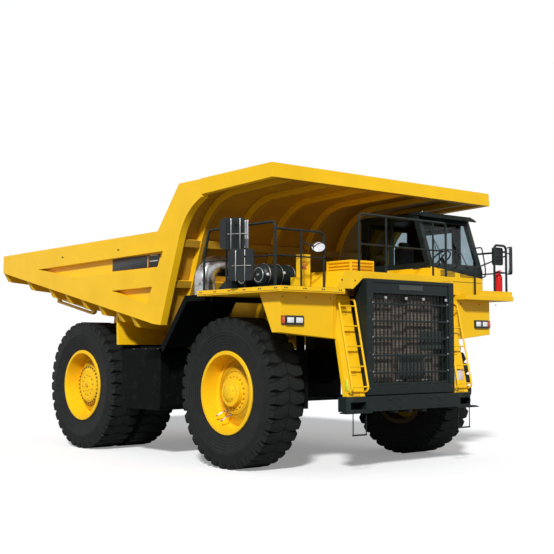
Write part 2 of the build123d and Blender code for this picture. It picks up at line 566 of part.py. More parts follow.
def build_body_sides():
    """Side walls: cut-away panels between a frame of welded rails, up to the canopy's edge."""
    foot, corner = from_front((232, -22)), from_front(RIB_CORNER)
    end = from_front(RIB_END)
    front = FilletPolyline(*[(x, BODY_INNER, z) for x, z in (foot, corner, end)], radius=RIB_BEND)
    knee = from_front(CANOPY_KNEE)
    rest = [end, (end[0], FLOOR_FRONT_Z + 2536), knee, from_front(SHOULDER),
            (15 - HALF_LENGTH, FLOOR_TAIL[1] + TOP_RAIL), FLOOR_TAIL, FLOOR_FRONT, foot]
    outline = front.edges() + Polyline(*[(x, BODY_INNER, z) for x, z in rest]).edges()
    wall = extrude(make_face(outline), amount=SIDE_WALL, dir=(0, 1, 0))
    wall = wall - block(FLOOR_FRONT_X + 1496, end[0] + 10, 0, BODY_HALF + 5, FLOOR_FRONT_Z,
                        FLOOR_FRONT_Z + 2900)
    for recess in (UPPER_RECESS, LOWER_RECESS):
        panel = prism_y([from_front(p) for p in recess], BODY_INNER + RECESS_SKIN, BODY_HALF + 5)
        wall = wall - panel
    for name, side in SIDES:
        keep(f"body_side_{name}", on_side(wall, side))


def build_headboard():
    """Front wall with upright ribs that bend forward under the canopy, and the canopy."""
    ahead = FLOOR_FRONT_X + 1357
    under_floor = floor_band(ahead, 5000, -700, FLOOR_PLATE, BODY_INNER + 300)
    seam = block(FLOOR_FRONT_X + CANOPY_SEAM, FLOOR_FRONT_X + 4000, -3000, 3000, FLOOR_FRONT_Z + 1481,
                 FLOOR_FRONT_Z + 2900)
    load_line = [from_front(p) for p in (LEAN_FOOT, LEAN_CORNER, LEAN_END)]
    rib_line = [from_front(p) for p in (RIB_FOOT, RIB_CORNER, RIB_END)]
    lower, upper = load_line[0], load_line[2]
    front_line = [(lower[0] + FRONT_PLATE_THICK, lower[1]),
                  (load_line[1][0] + FRONT_PLATE_THICK * 0.7, load_line[1][1] - FRONT_PLATE_THICK),
                  (upper[0], upper[1] - FRONT_PLATE_THICK)]
    bend = LEAN_BEND - FRONT_PLATE_THICK
    plate = bent_band(load_line, LEAN_BEND, front_line, bend, -BODY_INNER, BODY_INNER)
    for i in range(HEAD_RIBS):
        y = (i - (HEAD_RIBS - 1) / 2) * HEAD_RIB_PITCH
        plate = plate + bent_band(front_line, bend, rib_line, RIB_BEND, y - HEAD_RIB_WIDTH / 2,
                                  y + HEAD_RIB_WIDTH / 2)
    load = prism_y([load_line[0], (lower[0] - 900, lower[1]), (lower[0] - 900, upper[1])]
                   + [along_bend(load_line, LEAN_BEND, t) for t in (1, 0.75, 0.5, 0.25, 0)], -BODY_INNER,
                   BODY_INNER)
    for x, z in ((417, 811), (697, 1541)):
        foot_x, foot_z = from_front((x, z))
        bar = [(foot_x, foot_z), (foot_x + 70, foot_z - 20), (foot_x + 40, foot_z - 150),
               (foot_x - 50, foot_z - 120)]
        plate = plate + (prism_y(bar, -BODY_INNER, BODY_INNER) - load)
    keep("body_headboard", plate - seam - under_floor)
    top = FLOOR_FRONT_Z + CANOPY_TOP_RISE
    seam_x = FLOOR_FRONT_X + 1496
    under_rear = along(rib_line[1], rib_line[2], seam_x)
    under_front = along(rib_line[1], rib_line[2], CANOPY_FRONT_X)
    rim = [(seam_x, under_rear), (CANOPY_FRONT_X, under_front), (CANOPY_FRONT_X - 18, top),
           (seam_x, top - 30)]
    front_rim = [(CANOPY_FRONT_X - 128, under_front - 5), (CANOPY_FRONT_X, under_front),
                 (CANOPY_FRONT_X - 18, top), (CANOPY_FRONT_X - 128, top - 2)]
    sheet = (plate & seam) & block(0, CANOPY_FRONT_X - 127, -3000, 3000, 0, 9000)
    canopy = sheet + prism_y(front_rim, -BODY_HALF, BODY_HALF)
    for side in (1, -1):
        canopy = canopy + prism_y(rim, side * BODY_INNER, side * BODY_HALF)
    keep("body_canopy", canopy)


def along_bend(line, bend, t):
    """A point (x, z) on a bent line, just below its bend for t = 0 and just past it for t = 1."""
    path = FilletPolyline(*[(x, 0, z) for x, z in line], radius=bend)
    arc = path.edges().filter_by(GeomType.CIRCLE)[0]
    ends = sorted((arc @ 0, arc @ 1), key=lambda point: point.Z)
    start = arc @ 0
    share = t if (start - ends[0]).length < 1 else 1 - t
    point = arc @ share
    return point.X, point.Z


LOOP_BAR = 70                     # thickness of the rock ejector loops
LOOP_Y = 2230


def build_body_trim():
    """Guards ahead of the rear tyres and rock ejector brackets under the floor."""
    above_floor = floor_band(FLOOR_FRONT_X + 457, BEYOND, 0, 3000, BODY_HALF)
    above_ribs = floor_band(FLOOR_FRONT_X + 457, BEYOND, -RIB_DEPTH, 3000, BODY_HALF - 20, RIB_TAPER)
    guard_x = REAR_AXLE_X + 1395
    low = RAIL_TOP + 100
    face = [(guard_x - 60, low + 1060), (guard_x, low + 1060), (guard_x + 60, low), (guard_x, low)]
    guard = prism_y(face, BODY_RAIL_Y + 700, BODY_HALF - 265) - above_floor
    rear, ahead = -3400, -1800
    z = along(FLOOR_FRONT, FLOOR_TAIL, ahead) - 300
    bar = [(rear, z + 600), (ahead, z + 300), (ahead, z), (ahead - 100, z - 40), (rear, z + 260)]
    hole = [(rear + 80, z + 330), (ahead - 140, z + 52), (ahead - 100, z + 20), (ahead - 110, z + 5),
            (rear + 80, z + 290)]
    ejector = prism_y(bar, LOOP_Y, LOOP_Y + LOOP_BAR)
    ejector = ejector - prism_y(hole, LOOP_Y - 30, LOOP_Y + LOOP_BAR + 30) - above_ribs
    pieces = [guard, mirrored(guard), ejector, mirrored(ejector)]
    keep("body_brackets", Compound(children=pieces))


# ---------------------------------------------------------------- nose, decks and ladders
GRILLE_HALF = 1105
GRILLE_LOW, GRILLE_TOP = BUMPER_HIGH + 15, 3245
GRILLE_SIDE, GRILLE_SILL, GRILLE_LINTEL = 130, 155, 55     # widths of the grille's frame
NAME_BAND = 140                   # height of the plain plate above the mesh
GUARD_BARS = 5                    # heavy bars across the mesh
GUARD_BAR_TOP, GUARD_BAR_PITCH, GUARD_BAR_DEPTH = 415, 292, 34
WIRES = 19                        # upright wires behind the bars
HOOD_RISE = 305                   # hood above the deck
HOOD_CHAMFER_OUT, HOOD_CHAMFER_IN = -1740, -1530
HOOD_SHEET = 20
NOSE_X = DECK_FRONT
HOOD_TOP = DECK_TOP + HOOD_RISE
LAMP_FRONT = DECK_FRONT - 220
LAMP_BOX_DEPTH, LAMP_BOX_SLANT = 640, 100
LADDER_STEPS, LADDER_STEP_PITCH = 5, 335
LADDER_STAND_OFF = 130
STEP_AHEAD = 35                   # bumper steps reach this far past the bumper
LADDER_TOP, LADDER_FOOT = (DECK_FRONT - 330, DECK_BOTTOM - 5), (BUMPER_FRONT - 100, BUMPER_HIGH)


def build_nose():
    """Grille frame with its blank top plate, radiator in two cores, guard bars and wires."""
    y_in, z_low, z_top = GRILLE_HALF - GRILLE_SIDE, GRILLE_LOW + GRILLE_SILL, GRILLE_TOP - GRILLE_LINTEL
    shell = block(GRILLE_REAR, GRILLE_FRONT, -GRILLE_HALF, GRILLE_HALF, GRILLE_LOW, GRILLE_TOP)
    shell = shell - block(GRILLE_REAR - 10, GRILLE_FRONT + 10, -y_in, y_in, z_low, z_top)
    keep("grille_frame", shell + block(GRILLE_FRONT - 40, GRILLE_FRONT - 20, -y_in, y_in,
                                       z_top - NAME_BAND, z_top))
    back = GRILLE_REAR + 20
    core = block(back, back + 25, -y_in, y_in, z_low, z_top)
    for y0, y1 in ((-y_in + 30, -330), (20, 700)):
        core = core + block(back + 25, back + 120, y0, y1, z_low + 60, z_top - NAME_BAND - 60)
    keep("radiator_core", core)
    top = z_top - NAME_BAND
    x = GRILLE_FRONT - 65
    edge = block(x, x + 45, -y_in, y_in, z_low, top) - block(x - 5, x + 50, 45 - y_in, y_in - 45,
                                                             z_low + 45, top - 45)
    pieces = [edge]
    for i in range(GUARD_BARS):
        z = GRILLE_TOP - GUARD_BAR_TOP - i * GUARD_BAR_PITCH
        pieces.append(block(x + 20, x + 45, 45 - y_in, y_in - 45, z - GUARD_BAR_DEPTH / 2,
                            z + GUARD_BAR_DEPTH / 2))
    pitch = 2 * (y_in - 45) / (WIRES + 1)
    for i in range(1, WIRES + 1):
        y = 45 - y_in + i * pitch
        pieces.append(block(x + 8, x + 20, y - 6, y + 6, z_low + 45, top - 45))
    keep("grille_mesh", Compound(children=pieces))


def build_hood():
    """Hood with its chamfered right shoulder, the ledge along the cab and a slatted box."""
    out, inn, s = HOOD_CHAMFER_OUT, HOOD_CHAMFER_IN, HOOD_SHEET
    outer = [(out, DECK_TOP), (inn, HOOD_TOP), (CAB_RIGHT, HOOD_TOP), (CAB_RIGHT, DECK_TOP)]
    inner = [(out + 2 * s, DECK_TOP), (inn + s, HOOD_TOP - s), (CAB_RIGHT - s, HOOD_TOP - s),
             (CAB_RIGHT - s, DECK_TOP)]
    hood = prism_x(outer, DECK_REAR + 15, NOSE_X) - prism_x(inner, DECK_REAR + 35, NOSE_X - s)
    strip_end = GRILLE_HALF + 85
    strip = block(CAB_FRONT + 70, NOSE_X, CAB_RIGHT, strip_end, DECK_TOP, HOOD_TOP)
    strip = strip - block(CAB_FRONT + 50, NOSE_X - s, CAB_RIGHT - 60, strip_end - s, DECK_TOP, HOOD_TOP - s)
    opening = prism_x([(-GRILLE_HALF - 375, DECK_BOTTOM - 20), (-GRILLE_HALF - 10, GRILLE_TOP),
                       (GRILLE_HALF + 45, GRILLE_TOP), (GRILLE_HALF + 45, DECK_BOTTOM - 70),
                       (-GRILLE_HALF - 375, DECK_BOTTOM - 70)], GRILLE_REAR - 60, GRILLE_FRONT + 50)
    ledge_x = CAB_FRONT - 1150
    ledge = [(ledge_x, HOOD_TOP), (ledge_x + 90, CAB_SILL), (CAB_FRONT - 10, CAB_SILL),
             (CAB_FRONT - 10, HOOD_TOP)]
    ledge = prism_y(ledge, CAB_RIGHT - 70, CAB_RIGHT)
    x0, x1 = DECK_FRONT - 1670, DECK_FRONT - 1020
    vent = block(x0, x1, -400, 190, HOOD_TOP, HOOD_TOP + 300)
    for i in range(4):
        z = HOOD_TOP + 50 + 60 * i
        vent = vent - block(x0 + 40, x1 - 40, -410, -370, z, z + 30) - block(x1 - 30, x1 + 10, -370, 160,
                                                                             z, z + 30)
    keep("hood_cowl", hood + strip - opening + ledge + vent)


def lamp_box(outer_y):
    """Left box under the deck that carries the lamps, its floor slanting down to the ladder."""
    low = DECK_BOTTOM - LAMP_BOX_DEPTH
    side_view = [(LAMP_FRONT - 524, DECK_BOTTOM), (LAMP_FRONT, DECK_BOTTOM),
                 (LAMP_FRONT, low - LAMP_BOX_SLANT),
                 (LAMP_FRONT - 204 + 60, low - LAMP_BOX_SLANT), (LAMP_FRONT - 204, low)]
    front_view = [(LADDER_OUT, DECK_BOTTOM), (outer_y, DECK_BOTTOM), (outer_y, low),
                  (LADDER_OUT, low - LAMP_BOX_SLANT)]
    box = prism_y(side_view, LADDER_OUT, outer_y)
    return box & prism_x(front_view, LAMP_FRONT - 600, LAMP_FRONT + 10)


def build_decks():
    right = block(DECK_REAR, DECK_FRONT, -DECK_HALF, -GRILLE_HALF - 15, DECK_BOTTOM, DECK_TOP)
    gap = (LADDER_TOP[0] - 40, GRILLE_FRONT + 50)
    right = right - block(*gap, -LADDER_OUT, -GRILLE_HALF + 100, DECK_BOTTOM - 70, DECK_TOP + 40)
    keep("deck_right", right + mirrored(lamp_box(DECK_HALF - 180)))
    left = block(DECK_REAR, DECK_FRONT + 20, CAB_RIGHT, DECK_HALF, DECK_BOTTOM, DECK_TOP)
    left = left - block(*gap, CAB_RIGHT - 150, LADDER_OUT, DECK_BOTTOM - 70, DECK_TOP + 40)
    toe = block(DECK_FRONT - 20, DECK_FRONT - 8, DECK_HALF - 980, DECK_HALF, DECK_TOP, DECK_TOP + 90)
    toe = toe + block(DECK_REAR + 455, DECK_FRONT - 8, DECK_HALF - 12, DECK_HALF, DECK_TOP, DECK_TOP + 55)
    keep("deck_left", left + lamp_box(DECK_HALF - 430) + toe)


def build_ladders():
    """Leaning sheet columns with rungs between two bent tubes."""
    column = [(LADDER_TOP[0] - 70, LADDER_TOP[1]), LADDER_TOP, LADDER_FOOT,
              (LADDER_FOOT[0] - 110, LADDER_FOOT[1])]
    ladder = prism_y(column, LADDER_IN, LADDER_OUT)
    ahead = LADDER_STAND_OFF
    face = (LADDER_TOP[::-1], LADDER_FOOT[::-1])
    for i in range(LADDER_STEPS):
        z = LADDER_TOP[1] - 185 - LADDER_STEP_PITCH * i
        x = along(*face, z)
        ladder = ladder + rod((x + ahead, LADDER_IN + 20, z), (x + ahead, LADDER_OUT - 20, z), 13)
    high, low = LADDER_TOP[1] - 70, LADDER_FOOT[1] + 90
    for y in (LADDER_IN + 20, LADDER_OUT - 20):
        run = [(along(*face, high) - 25, y, high), (along(*face, high) + ahead, y, high),
               (along(*face, low) + ahead, y, low), (along(*face, low - 20) - 25, y, low - 20)]
        ladder = ladder + bent_tube(run, 17, 75)
    keep("ladders", Compound(children=[ladder, mirrored(ladder)]))


def build_bumper():
    """Bumper with chamfered ends, end pockets, step plates and hanging wire steps."""
    half = LADDER_OUT + 40
    chamfer = BUMPER_FRONT - 90
    outline = [(BUMPER_REAR, -half), (chamfer, -half), (BUMPER_FRONT, 100 - half),
               (BUMPER_FRONT, half - 100),
               (chamfer, half), (BUMPER_REAR, half)]
    bumper = prism_z(outline, BUMPER_LOW, BUMPER_HIGH)
    for side in (1, -1):
        bumper = bumper - block(BUMPER_REAR + 70, BUMPER_FRONT + 90, side * (half - 380),
                                side * (half - 60),
                                BUMPER_LOW + 40, BUMPER_HIGH - 90)
        step = block(BUMPER_FRONT - 150, BUMPER_FRONT + STEP_AHEAD, side * (half - 490), side * (half + 90),
                     BUMPER_LOW - 22, BUMPER_LOW)
        x = BUMPER_FRONT - 30
        for y in (half - 400, half - 100):
            step = step + rod((x, side * y, 655), (x, side * y, BUMPER_LOW - 15), 9)
        step = step + rod((x, side * (half - 410), 655), (x, side * (half - 90), 655), 14)
        bumper = bumper + step
    keep("front_bumper", bumper)


TANK_REAR, TANK_FRONT = -350, 1000
FUEL_TOP, OIL_TOP = 2060, 2040
TANK_DEPTH = 1150
GUARD_SHEET = 20
GUARD_FLAT_Z = 2080               # the mudguards' flat rear part rests on stays from the tanks
GUARD_OUT = 2750


def build_sides():
    """Tanks between the wheels and the sloping mudguards behind the front wheels."""
    fuel = block(TANK_REAR, TANK_FRONT, -2500, -900, FUEL_TOP - TANK_DEPTH, FUEL_TOP)
    fuel = fillet(fuel.edges().filter_by(Axis.Y), 110) + block(200, 500, -910, -RAIL_OUT, 1500, 1900)
    keep("fuel_tank", fuel)
    oil = block(TANK_REAR + 200, TANK_FRONT - 150, 900, 2300, OIL_TOP - TANK_DEPTH + 60, OIL_TOP)
    oil = fillet(oil.edges().filter_by(Axis.Y), 110) + block(200, 500, RAIL_OUT, 910, 1500, 1900)
    keep("oil_tank", oil)
    low_x, high_x = FRONT_AXLE_X - 1625, FRONT_AXLE_X - 865
    z, top_z, s = GUARD_FLAT_Z + GUARD_SHEET, DECK_BOTTOM + 40, GUARD_SHEET
    top = [(DECK_REAR, top_z), (high_x, top_z), (low_x, z), (700, z)]
    under = [(DECK_REAR, top_z - s), (high_x + 10, top_z - s), (low_x + 10, z - s), (700, z - s)]
    guard = prism_y(top + under[::-1], LADDER_OUT + 30, GUARD_OUT)
    skirt = [(DECK_REAR, top_z - 110), (high_x + 60, top_z - 110), (low_x + 60, z - 110),
             (low_x + 10, z - s)]
    guard = guard + prism_y(top[:3] + skirt[2::-1], GUARD_OUT - 15, GUARD_OUT)
    stay_left = block(720, 760, 1700, 2200, OIL_TOP, GUARD_FLAT_Z + 5)
    stay_right = block(720, 760, 1700, 2200, FUEL_TOP, GUARD_FLAT_Z + 5)
    keep("mudguards", Compound(children=[guard + stay_left, mirrored(guard + stay_right)]))


# ---------------------------------------------------------------- cab
CAB_WALL = 50
CAB_FLOOR = 25
SCREEN_LEAN = 330                 # the top of the windscreen is this far behind its foot
DOOR_REAR, DOOR_FRONT = CAB_REAR + 190, CAB_REAR + 1190
DOOR_LOW, DOOR_HIGH = DECK_TOP + 70, CAB_TOP - 90
DOOR_GAP = 8
DOOR_HINGE_RADIUS, DOOR_PIN_RADIUS = 20, 8
GLASS = 8
WINDOW_LOW, WINDOW_HIGH = CAB_SILL + 110, CAB_TOP - 90
ROOF_PLATE = 60
SCREEN_LOW, SCREEN_HIGH = (CAB_FRONT, CAB_SILL), (CAB_FRONT - SCREEN_LEAN, CAB_TOP)


def screen_x(z, inset=0):
    """X of the windscreen's plane at a height."""
    return along(SCREEN_LOW[::-1], SCREEN_HIGH[::-1], z) - inset


def cab_outline(inset):
    base = DECK_TOP + (CAB_FLOOR if inset else 0)
    return [(CAB_REAR + inset, base), (CAB_FRONT - inset, base), (CAB_FRONT - inset, CAB_SILL),
            (SCREEN_HIGH[0] - inset, CAB_TOP - inset), (CAB_REAR + inset, CAB_TOP - inset)]


def side_windows():
    """Outlines (x, z) of the right wall's two windows and the left wall's front quarter."""
    post = 120
    low, high = WINDOW_LOW, WINDOW_HIGH
    split = CAB_REAR + 780
    front = [(split + 40, low), (screen_x(low, post), low), (screen_x(high, post), high),
             (split + 40, high)]
    rear = [(CAB_REAR + 120, low), (split - 40, low), (split - 40, high), (CAB_REAR + 220, high)]
    quarter = [(DOOR_FRONT + 80, low), (screen_x(low, post), low), (screen_x(high, post), high),
               (DOOR_FRONT + 80, high)]
    return front, rear, quarter


def build_cab():
    """Hollow cab with cut windows, panes, a visored roof, the seat and the dashboard."""
    shell = prism_y(cab_outline(0), CAB_RIGHT, CAB_LEFT)
    shell = shell - prism_y(cab_outline(CAB_WALL), CAB_RIGHT + CAB_WALL, CAB_LEFT - CAB_WALL)
    front, rear, quarter = side_windows()
    panes = []
    for window in (front, rear):
        shell = shell - prism_y(window, CAB_RIGHT - 10, CAB_RIGHT + CAB_WALL + 10)
        panes.append(prism_y(window, CAB_RIGHT + 20, CAB_RIGHT + 20 + GLASS))
    shell = shell - prism_y(quarter, CAB_LEFT - CAB_WALL - 10, CAB_LEFT + 10)
    panes.append(prism_y(quarter, CAB_LEFT - 20 - GLASS, CAB_LEFT - 20))
    low, high, y0, y1 = CAB_SILL + 80, CAB_TOP - 90, CAB_RIGHT + 90, CAB_LEFT - 90
    shell = shell - block(SCREEN_HIGH[0] - 120, CAB_FRONT + 150, y0, y1, low, high)
    screen = [(screen_x(low, 20), low), (screen_x(high, 20), high), (screen_x(high, 20 + GLASS), high),
              (screen_x(low, 20 + GLASS), low)]
    panes.append(prism_y(screen, y0, y1))
    back = (CAB_RIGHT + 150, CAB_LEFT - 160, CAB_SILL + 170, CAB_TOP - 130)
    shell = shell - block(CAB_REAR - 10, CAB_REAR + CAB_WALL + 10, *back)
    panes.append(block(CAB_REAR + 20, CAB_REAR + 20 + GLASS, *back))
    shell = shell - block(DOOR_REAR, DOOR_FRONT, CAB_LEFT - CAB_WALL - 10, CAB_LEFT + 10, DOOR_LOW,
                          DOOR_HIGH)
    keep("cab_shell", shell)
    keep("cab_glass", Compound(children=panes))
    nose, t = SCREEN_HIGH[0], CAB_TOP
    roof = [(CAB_REAR - 30, t), (nose + 20, t), (nose + 165, t - 45), (nose + 175, t - 20),
            (nose + 60, t + ROOF_PLATE),
            (CAB_REAR + 60, t + ROOF_PLATE), (CAB_REAR - 30, t + 25)]
    roof = prism_y(roof, CAB_RIGHT - 20, CAB_LEFT + 20)
    keep("cab_roof", chamfer(roof.edges().filter_by(Axis.X).group_by(Axis.Z)[-1], 35))
    base = DECK_TOP + CAB_FLOOR
    seat_y = (CAB_RIGHT + CAB_LEFT) / 2
    x = CAB_REAR + 370
    cushion = block(x + 90, x + 590, seat_y - 250, seat_y + 250, base + 365, base + 495)
    back_rest = prism_y([(x + 40, base + 395), (x + 160, base + 395), (x + 90, base + 1065),
                         (x, base + 1065)],
                        seat_y - 250, seat_y + 250)
    keep("cab_seat", cushion + back_rest + block(x + 170, x + 470, seat_y - 150, seat_y + 150, base,
                                                 base + 365))
    dash = [(CAB_FRONT - 320, base), (CAB_FRONT - CAB_WALL, base), (CAB_FRONT - CAB_WALL, CAB_SILL),
            (CAB_FRONT - 250, CAB_SILL + 60), (CAB_FRONT - 320, CAB_SILL)]
    dash = prism_y(dash, CAB_RIGHT + CAB_WALL, CAB_LEFT - CAB_WALL)
    hub = (CAB_FRONT - 400, seat_y, CAB_SILL + 240)
    column = rod((CAB_FRONT - 250, seat_y, CAB_SILL - 30), hub, 28)
    tilt = Plane(origin=hub, z_dir=(-270, 0, 330))
    wheel = tilt * Torus(200, 15) + tilt * Box(400, 30, 16)
    keep("cab_console", dash + column + wheel)


def build_door():
    """Door with its window, hung on two pins that stand on the cab's left wall."""
    g = DOOR_GAP
    y0, y1 = CAB_LEFT - CAB_WALL, CAB_LEFT
    door = block(DOOR_REAR + g, DOOR_FRONT - g, y0, y1, DOOR_LOW + g, DOOR_HIGH - g)
    window = (DOOR_REAR + 120, DOOR_FRONT - 110, y0 - 5, y1 + 5, WINDOW_LOW + 40, DOOR_HIGH - 90)
    door = door - block(*window)
    hinge_x, hinge_y = DOOR_REAR - 30, CAB_LEFT + 40
    eye, pin = DOOR_HINGE_RADIUS, DOOR_PIN_RADIUS
    shell = PARTS["cab_shell"]
    for z in (DOOR_LOW + 220, DOOR_HIGH - 190):
        knuckle = rod((hinge_x, hinge_y, z), (hinge_x, hinge_y, z + 60), eye)
        door = door + knuckle + block(hinge_x, DOOR_REAR + 80, y1, hinge_y + 8, z, z + 60)
        door = door - rod((hinge_x, hinge_y, z - 1), (hinge_x, hinge_y, z + 61), pin + RUNNING_FIT)
        post = rod((hinge_x, hinge_y, z - 60), (hinge_x, hinge_y, z + 70), pin)
        post = post + rod((hinge_x, hinge_y, z - 65), (hinge_x, hinge_y, z - 5), eye)
        post = post + block(hinge_x - 60, hinge_x, y1, hinge_y, z - 65, z - 5)
        shell = shell + post
    keep("cab_door", door)
    keep("cab_shell", shell)
    keep("door_glass", block(window[0], window[1], y1 - 20 - GLASS, y1 - 20, window[4], window[5]))


# ---------------------------------------------------------------- rails, mirrors, deck fittings
RAIL_LINE = DECK_HALF - 90        # handrails beside the decks, Y
RAIL_HEIGHT, MID_HEIGHT = 1060, 560
RAIL_BEND = 85
CORNER_X = DECK_FRONT - 235       # front corner of the right handrail
THIN = TUBE - 5                   # posts and middle rails inside a bent tube's run


def post_under(x, y, floor, height):
    """Upright between the deck and a rail's axis."""
    return rod((x, y, floor), (x, y, floor + height), THIN)


def build_rails():
    """Bent tube handrails with thinner posts and middle rails, for both decks and the hood."""
    d, top, mid = DECK_TOP, DECK_TOP + RAIL_HEIGHT - TUBE, DECK_TOP + MID_HEIGHT
    y, rear = -RAIL_LINE, DECK_REAR + 85
    right = bent_tube([(rear, y, d), (rear, y, mid), (rear + 150, y, top), (CORNER_X, y, top),
                       (CORNER_X, y, d)],
                      TUBE, RAIL_BEND)
    inner = -1790                 # the fence ends here, beside the hood
    right = right + bent_tube([(CORNER_X, y, top - 110), (CORNER_X, inner, top - 110),
                               (CORNER_X, inner, d)],
                              THIN + 2, RAIL_BEND)
    for x in (rear + 630, rear + 1130):
        right = right + post_under(x, y, d, top - d)
    right = right + post_under(CORNER_X, -2290, d, top - 110 - d)
    right = right + rod((rear, y, mid - 60), (CORNER_X, y, mid - 60), THIN - 3)
    right = right + rod((CORNER_X, y, mid - 60), (CORNER_X, inner, mid - 60), THIN - 3)

    x, h = NOSE_X - 90, HOOD_TOP
    nose_top, left_end, right_end = h + RAIL_HEIGHT - 80, -1120, GRILLE_HALF
    nose = bent_tube([(x, left_end, h), (x, left_end, nose_top), (x, right_end, nose_top),
                      (x, right_end, h)],
                     TUBE, RAIL_BEND)
    for y_post in (left_end + 660, right_end - 350):
        nose = nose + post_under(x, y_post, h, nose_top - h)
    nose = nose + rod((x, left_end, h + 470), (x, right_end, h + 470), THIN - 3)

    x, y0, y1, y2 = DECK_FRONT - 70, RAIL_LINE - 940, RAIL_LINE - 360, RAIL_LINE
    left = bent_tube([(x, y1, d), (x, y1, top - 60), (x, y2, top - 60), (x, y2, d)], TUBE, RAIL_BEND)
    left = left + bent_tube([(x, y2, top - 170), (x - 780, y2, top - 170), (x - 780, y2, d)], THIN + 2,
                            RAIL_BEND)
    left = left + rod((x, y0, d), (x, y0, d + 520), THIN)
    left = left + rod((x, y0, d + 500), (x, y2, d + 790), THIN - 3)
    left = left + rod((x, y1, d + 460), (x, y2, d + 460), THIN - 3)
    left = left + rod((x, y2, d + 460), (x - 780, y2, d + 460), THIN - 3)
    keep("handrails", Compound(children=[right, nose, left]))


MIRROR_WIDTH, MIRROR_HEIGHT, MIRROR_DEPTH = 440, 520, 60
MIRROR_ANGLE = 30                 # turned from straight ahead


def mirror_head(x, side, z0, height, width, angle):
    """Mirror housing with rounded corners, its outermost edge at the overall width."""
    turn = math.radians(angle)
    reach = (abs(width * math.sin(turn)) + MIRROR_DEPTH * abs(math.cos(turn))) / 2
    head = Box(width, MIRROR_DEPTH, height)
    head = fillet(head.edges().filter_by(Axis.Y), min(70, width / 4))
    return Pos(x, side * (HALF_WIDTH - reach), z0 + height / 2) * Rot(0, 0, angle) * head


def build_mirrors():
    top = DECK_TOP + RAIL_HEIGHT - TUBE
    mid = DECK_TOP + MID_HEIGHT - 60
    heads = []
    for x, z0, z_arm, rail in ((3850, top - 400, top, TUBE), (4075, mid - 390, mid, THIN - 3)):
        head = mirror_head(x, -1, z0, MIRROR_HEIGHT, MIRROR_WIDTH, MIRROR_ANGLE)
        arm = rod((x + 90, -HALF_WIDTH + 110, z_arm), (x + 90, -RAIL_LINE - rail - SEAT_GAP, z_arm), 14)
        heads.append(head + arm)
    x = DECK_FRONT - 70
    low = DECK_TOP + 440
    outer = mirror_head(x - 70, 1, low, 540, 230, 140)
    outer = outer + rod((x, HALF_WIDTH - 156, low + 400), (x, RAIL_LINE + TUBE + SEAT_GAP, low + 400), 12)
    heads.append(outer)
    y = RAIL_LINE - 180
    z = DECK_TOP + 500 + (y - RAIL_LINE + 940) * 290 / 940
    inner = block(x - 90, x - 40, y - 140, y + 140, z - 130, z + 210)
    inner = fillet(inner.edges().filter_by(Axis.X), 40)
    heads.append(inner + rod((x - 45, y, z), (x - (THIN - 3) - SEAT_GAP, y, z), 12))
    keep("mirrors", Compound(children=heads))


CLEANER_RADIUS = 190
CLEANER_X, CLEANER_PITCH = DECK_REAR + 705, 450
DUCT_RADIUS = 185


def build_deck_fittings():
    """Air cleaners with their plenum, exhaust elbow, cabinet, extinguisher and headlamps."""
    r = CLEANER_RADIUS
    cleaners = []
    for i in range(2):
        x, z = CLEANER_X + i * CLEANER_PITCH, DECK_TOP + 50 + r
        drum = [(-2500, 0), (-2500, r - 40), (-2460, r), (-1900, r), (-1880, r - 25), (-1790, r - 25),
                (-1760, r - 60),
                (-1760, 0)]
        outline = Polyline(*[(x, y, z + offset) for y, offset in drum], close=True)
        body = revolve(make_face(outline.edges()), axis=Axis((x, 0, z), (0, 1, 0)))
        foot = block(x - 120, x + 120, -2350, -2000, DECK_TOP, z - r / 2)
        cleaners.append(body + foot)
    x = CLEANER_X - r - 25
    plenum = [(x - 445, DECK_TOP), (x - 35, DECK_TOP + 270), (x, DECK_TOP + 270), (x, DECK_TOP)]
    cleaners.append(prism_y(plenum, -2560, -1800))
    keep("air_cleaners", Compound(children=cleaners))

    d = DECK_TOP
    pipe_x, pipe_y, pipe_z = DECK_REAR - DUCT_RADIUS - 95, 370 - DECK_HALF, d + 480
    elbow = bent_tube([(pipe_x, pipe_y, DECK_BOTTOM + 40), (pipe_x, pipe_y, pipe_z),
                       (pipe_x, pipe_y + 1000, pipe_z)],
                      DUCT_RADIUS, DUCT_RADIUS + 65)
    keep("exhaust_duct", elbow)

    x, y = CORNER_X - 400, -1890
    cabinet = block(x - 85, x + 85, y - 95, y + 95, d, d + 580)
    cabinet = fillet(cabinet.edges().filter_by(Axis.Z), 18)
    keep("deck_cabinet", cabinet + block(x - 60, x + 60, y - 230, y - 95, d, d + 190))

    x, y = DECK_FRONT - 170, RAIL_LINE - 120
    bottle = [(0, 0), (80, 0), (80, 330), (60, 380), (28, 410), (28, 450), (0, 450)]
    outline = Polyline(*[(x + r_, y, d + 40 + h) for r_, h in bottle], close=True)
    bottle = revolve(make_face(outline.edges()), axis=Axis((x, y, 0), (0, 0, 1)))
    bottle = bottle + rod((x, y, d), (x, y, d + 40), 60) + block(x - 15, x + 70, y - 12, y + 12, d + 485,
                                                                 d + 505)
    keep("fire_extinguisher", bottle)

    lamps = []
    z0, z1 = DECK_BOTTOM - 520, DECK_BOTTOM - 370
    for y, marker in ((465 - DECK_HALF, -1), (DECK_HALF - 700, 1)):
        unit = block(LAMP_FRONT, LAMP_FRONT + 35, y - 190, y + 190, z0, z1)
        for shift in (-95, 95):
            unit = unit - block(LAMP_FRONT + 12, LAMP_FRONT + 40, y + shift - 75, y + shift + 75, z0 + 25,
                                z1 - 25)
            unit = unit + block(LAMP_FRONT + 12, LAMP_FRONT + 26, y + shift - 66, y + shift + 66, z0 + 33,
                                z1 - 33)
        lamps.append(unit)
        lamps.append(block(LAMP_FRONT, LAMP_FRONT + 22, y + marker * 205, y + marker * 265, z0 + 5, z1 - 5))
    keep("headlamps", Compound(children=lamps))


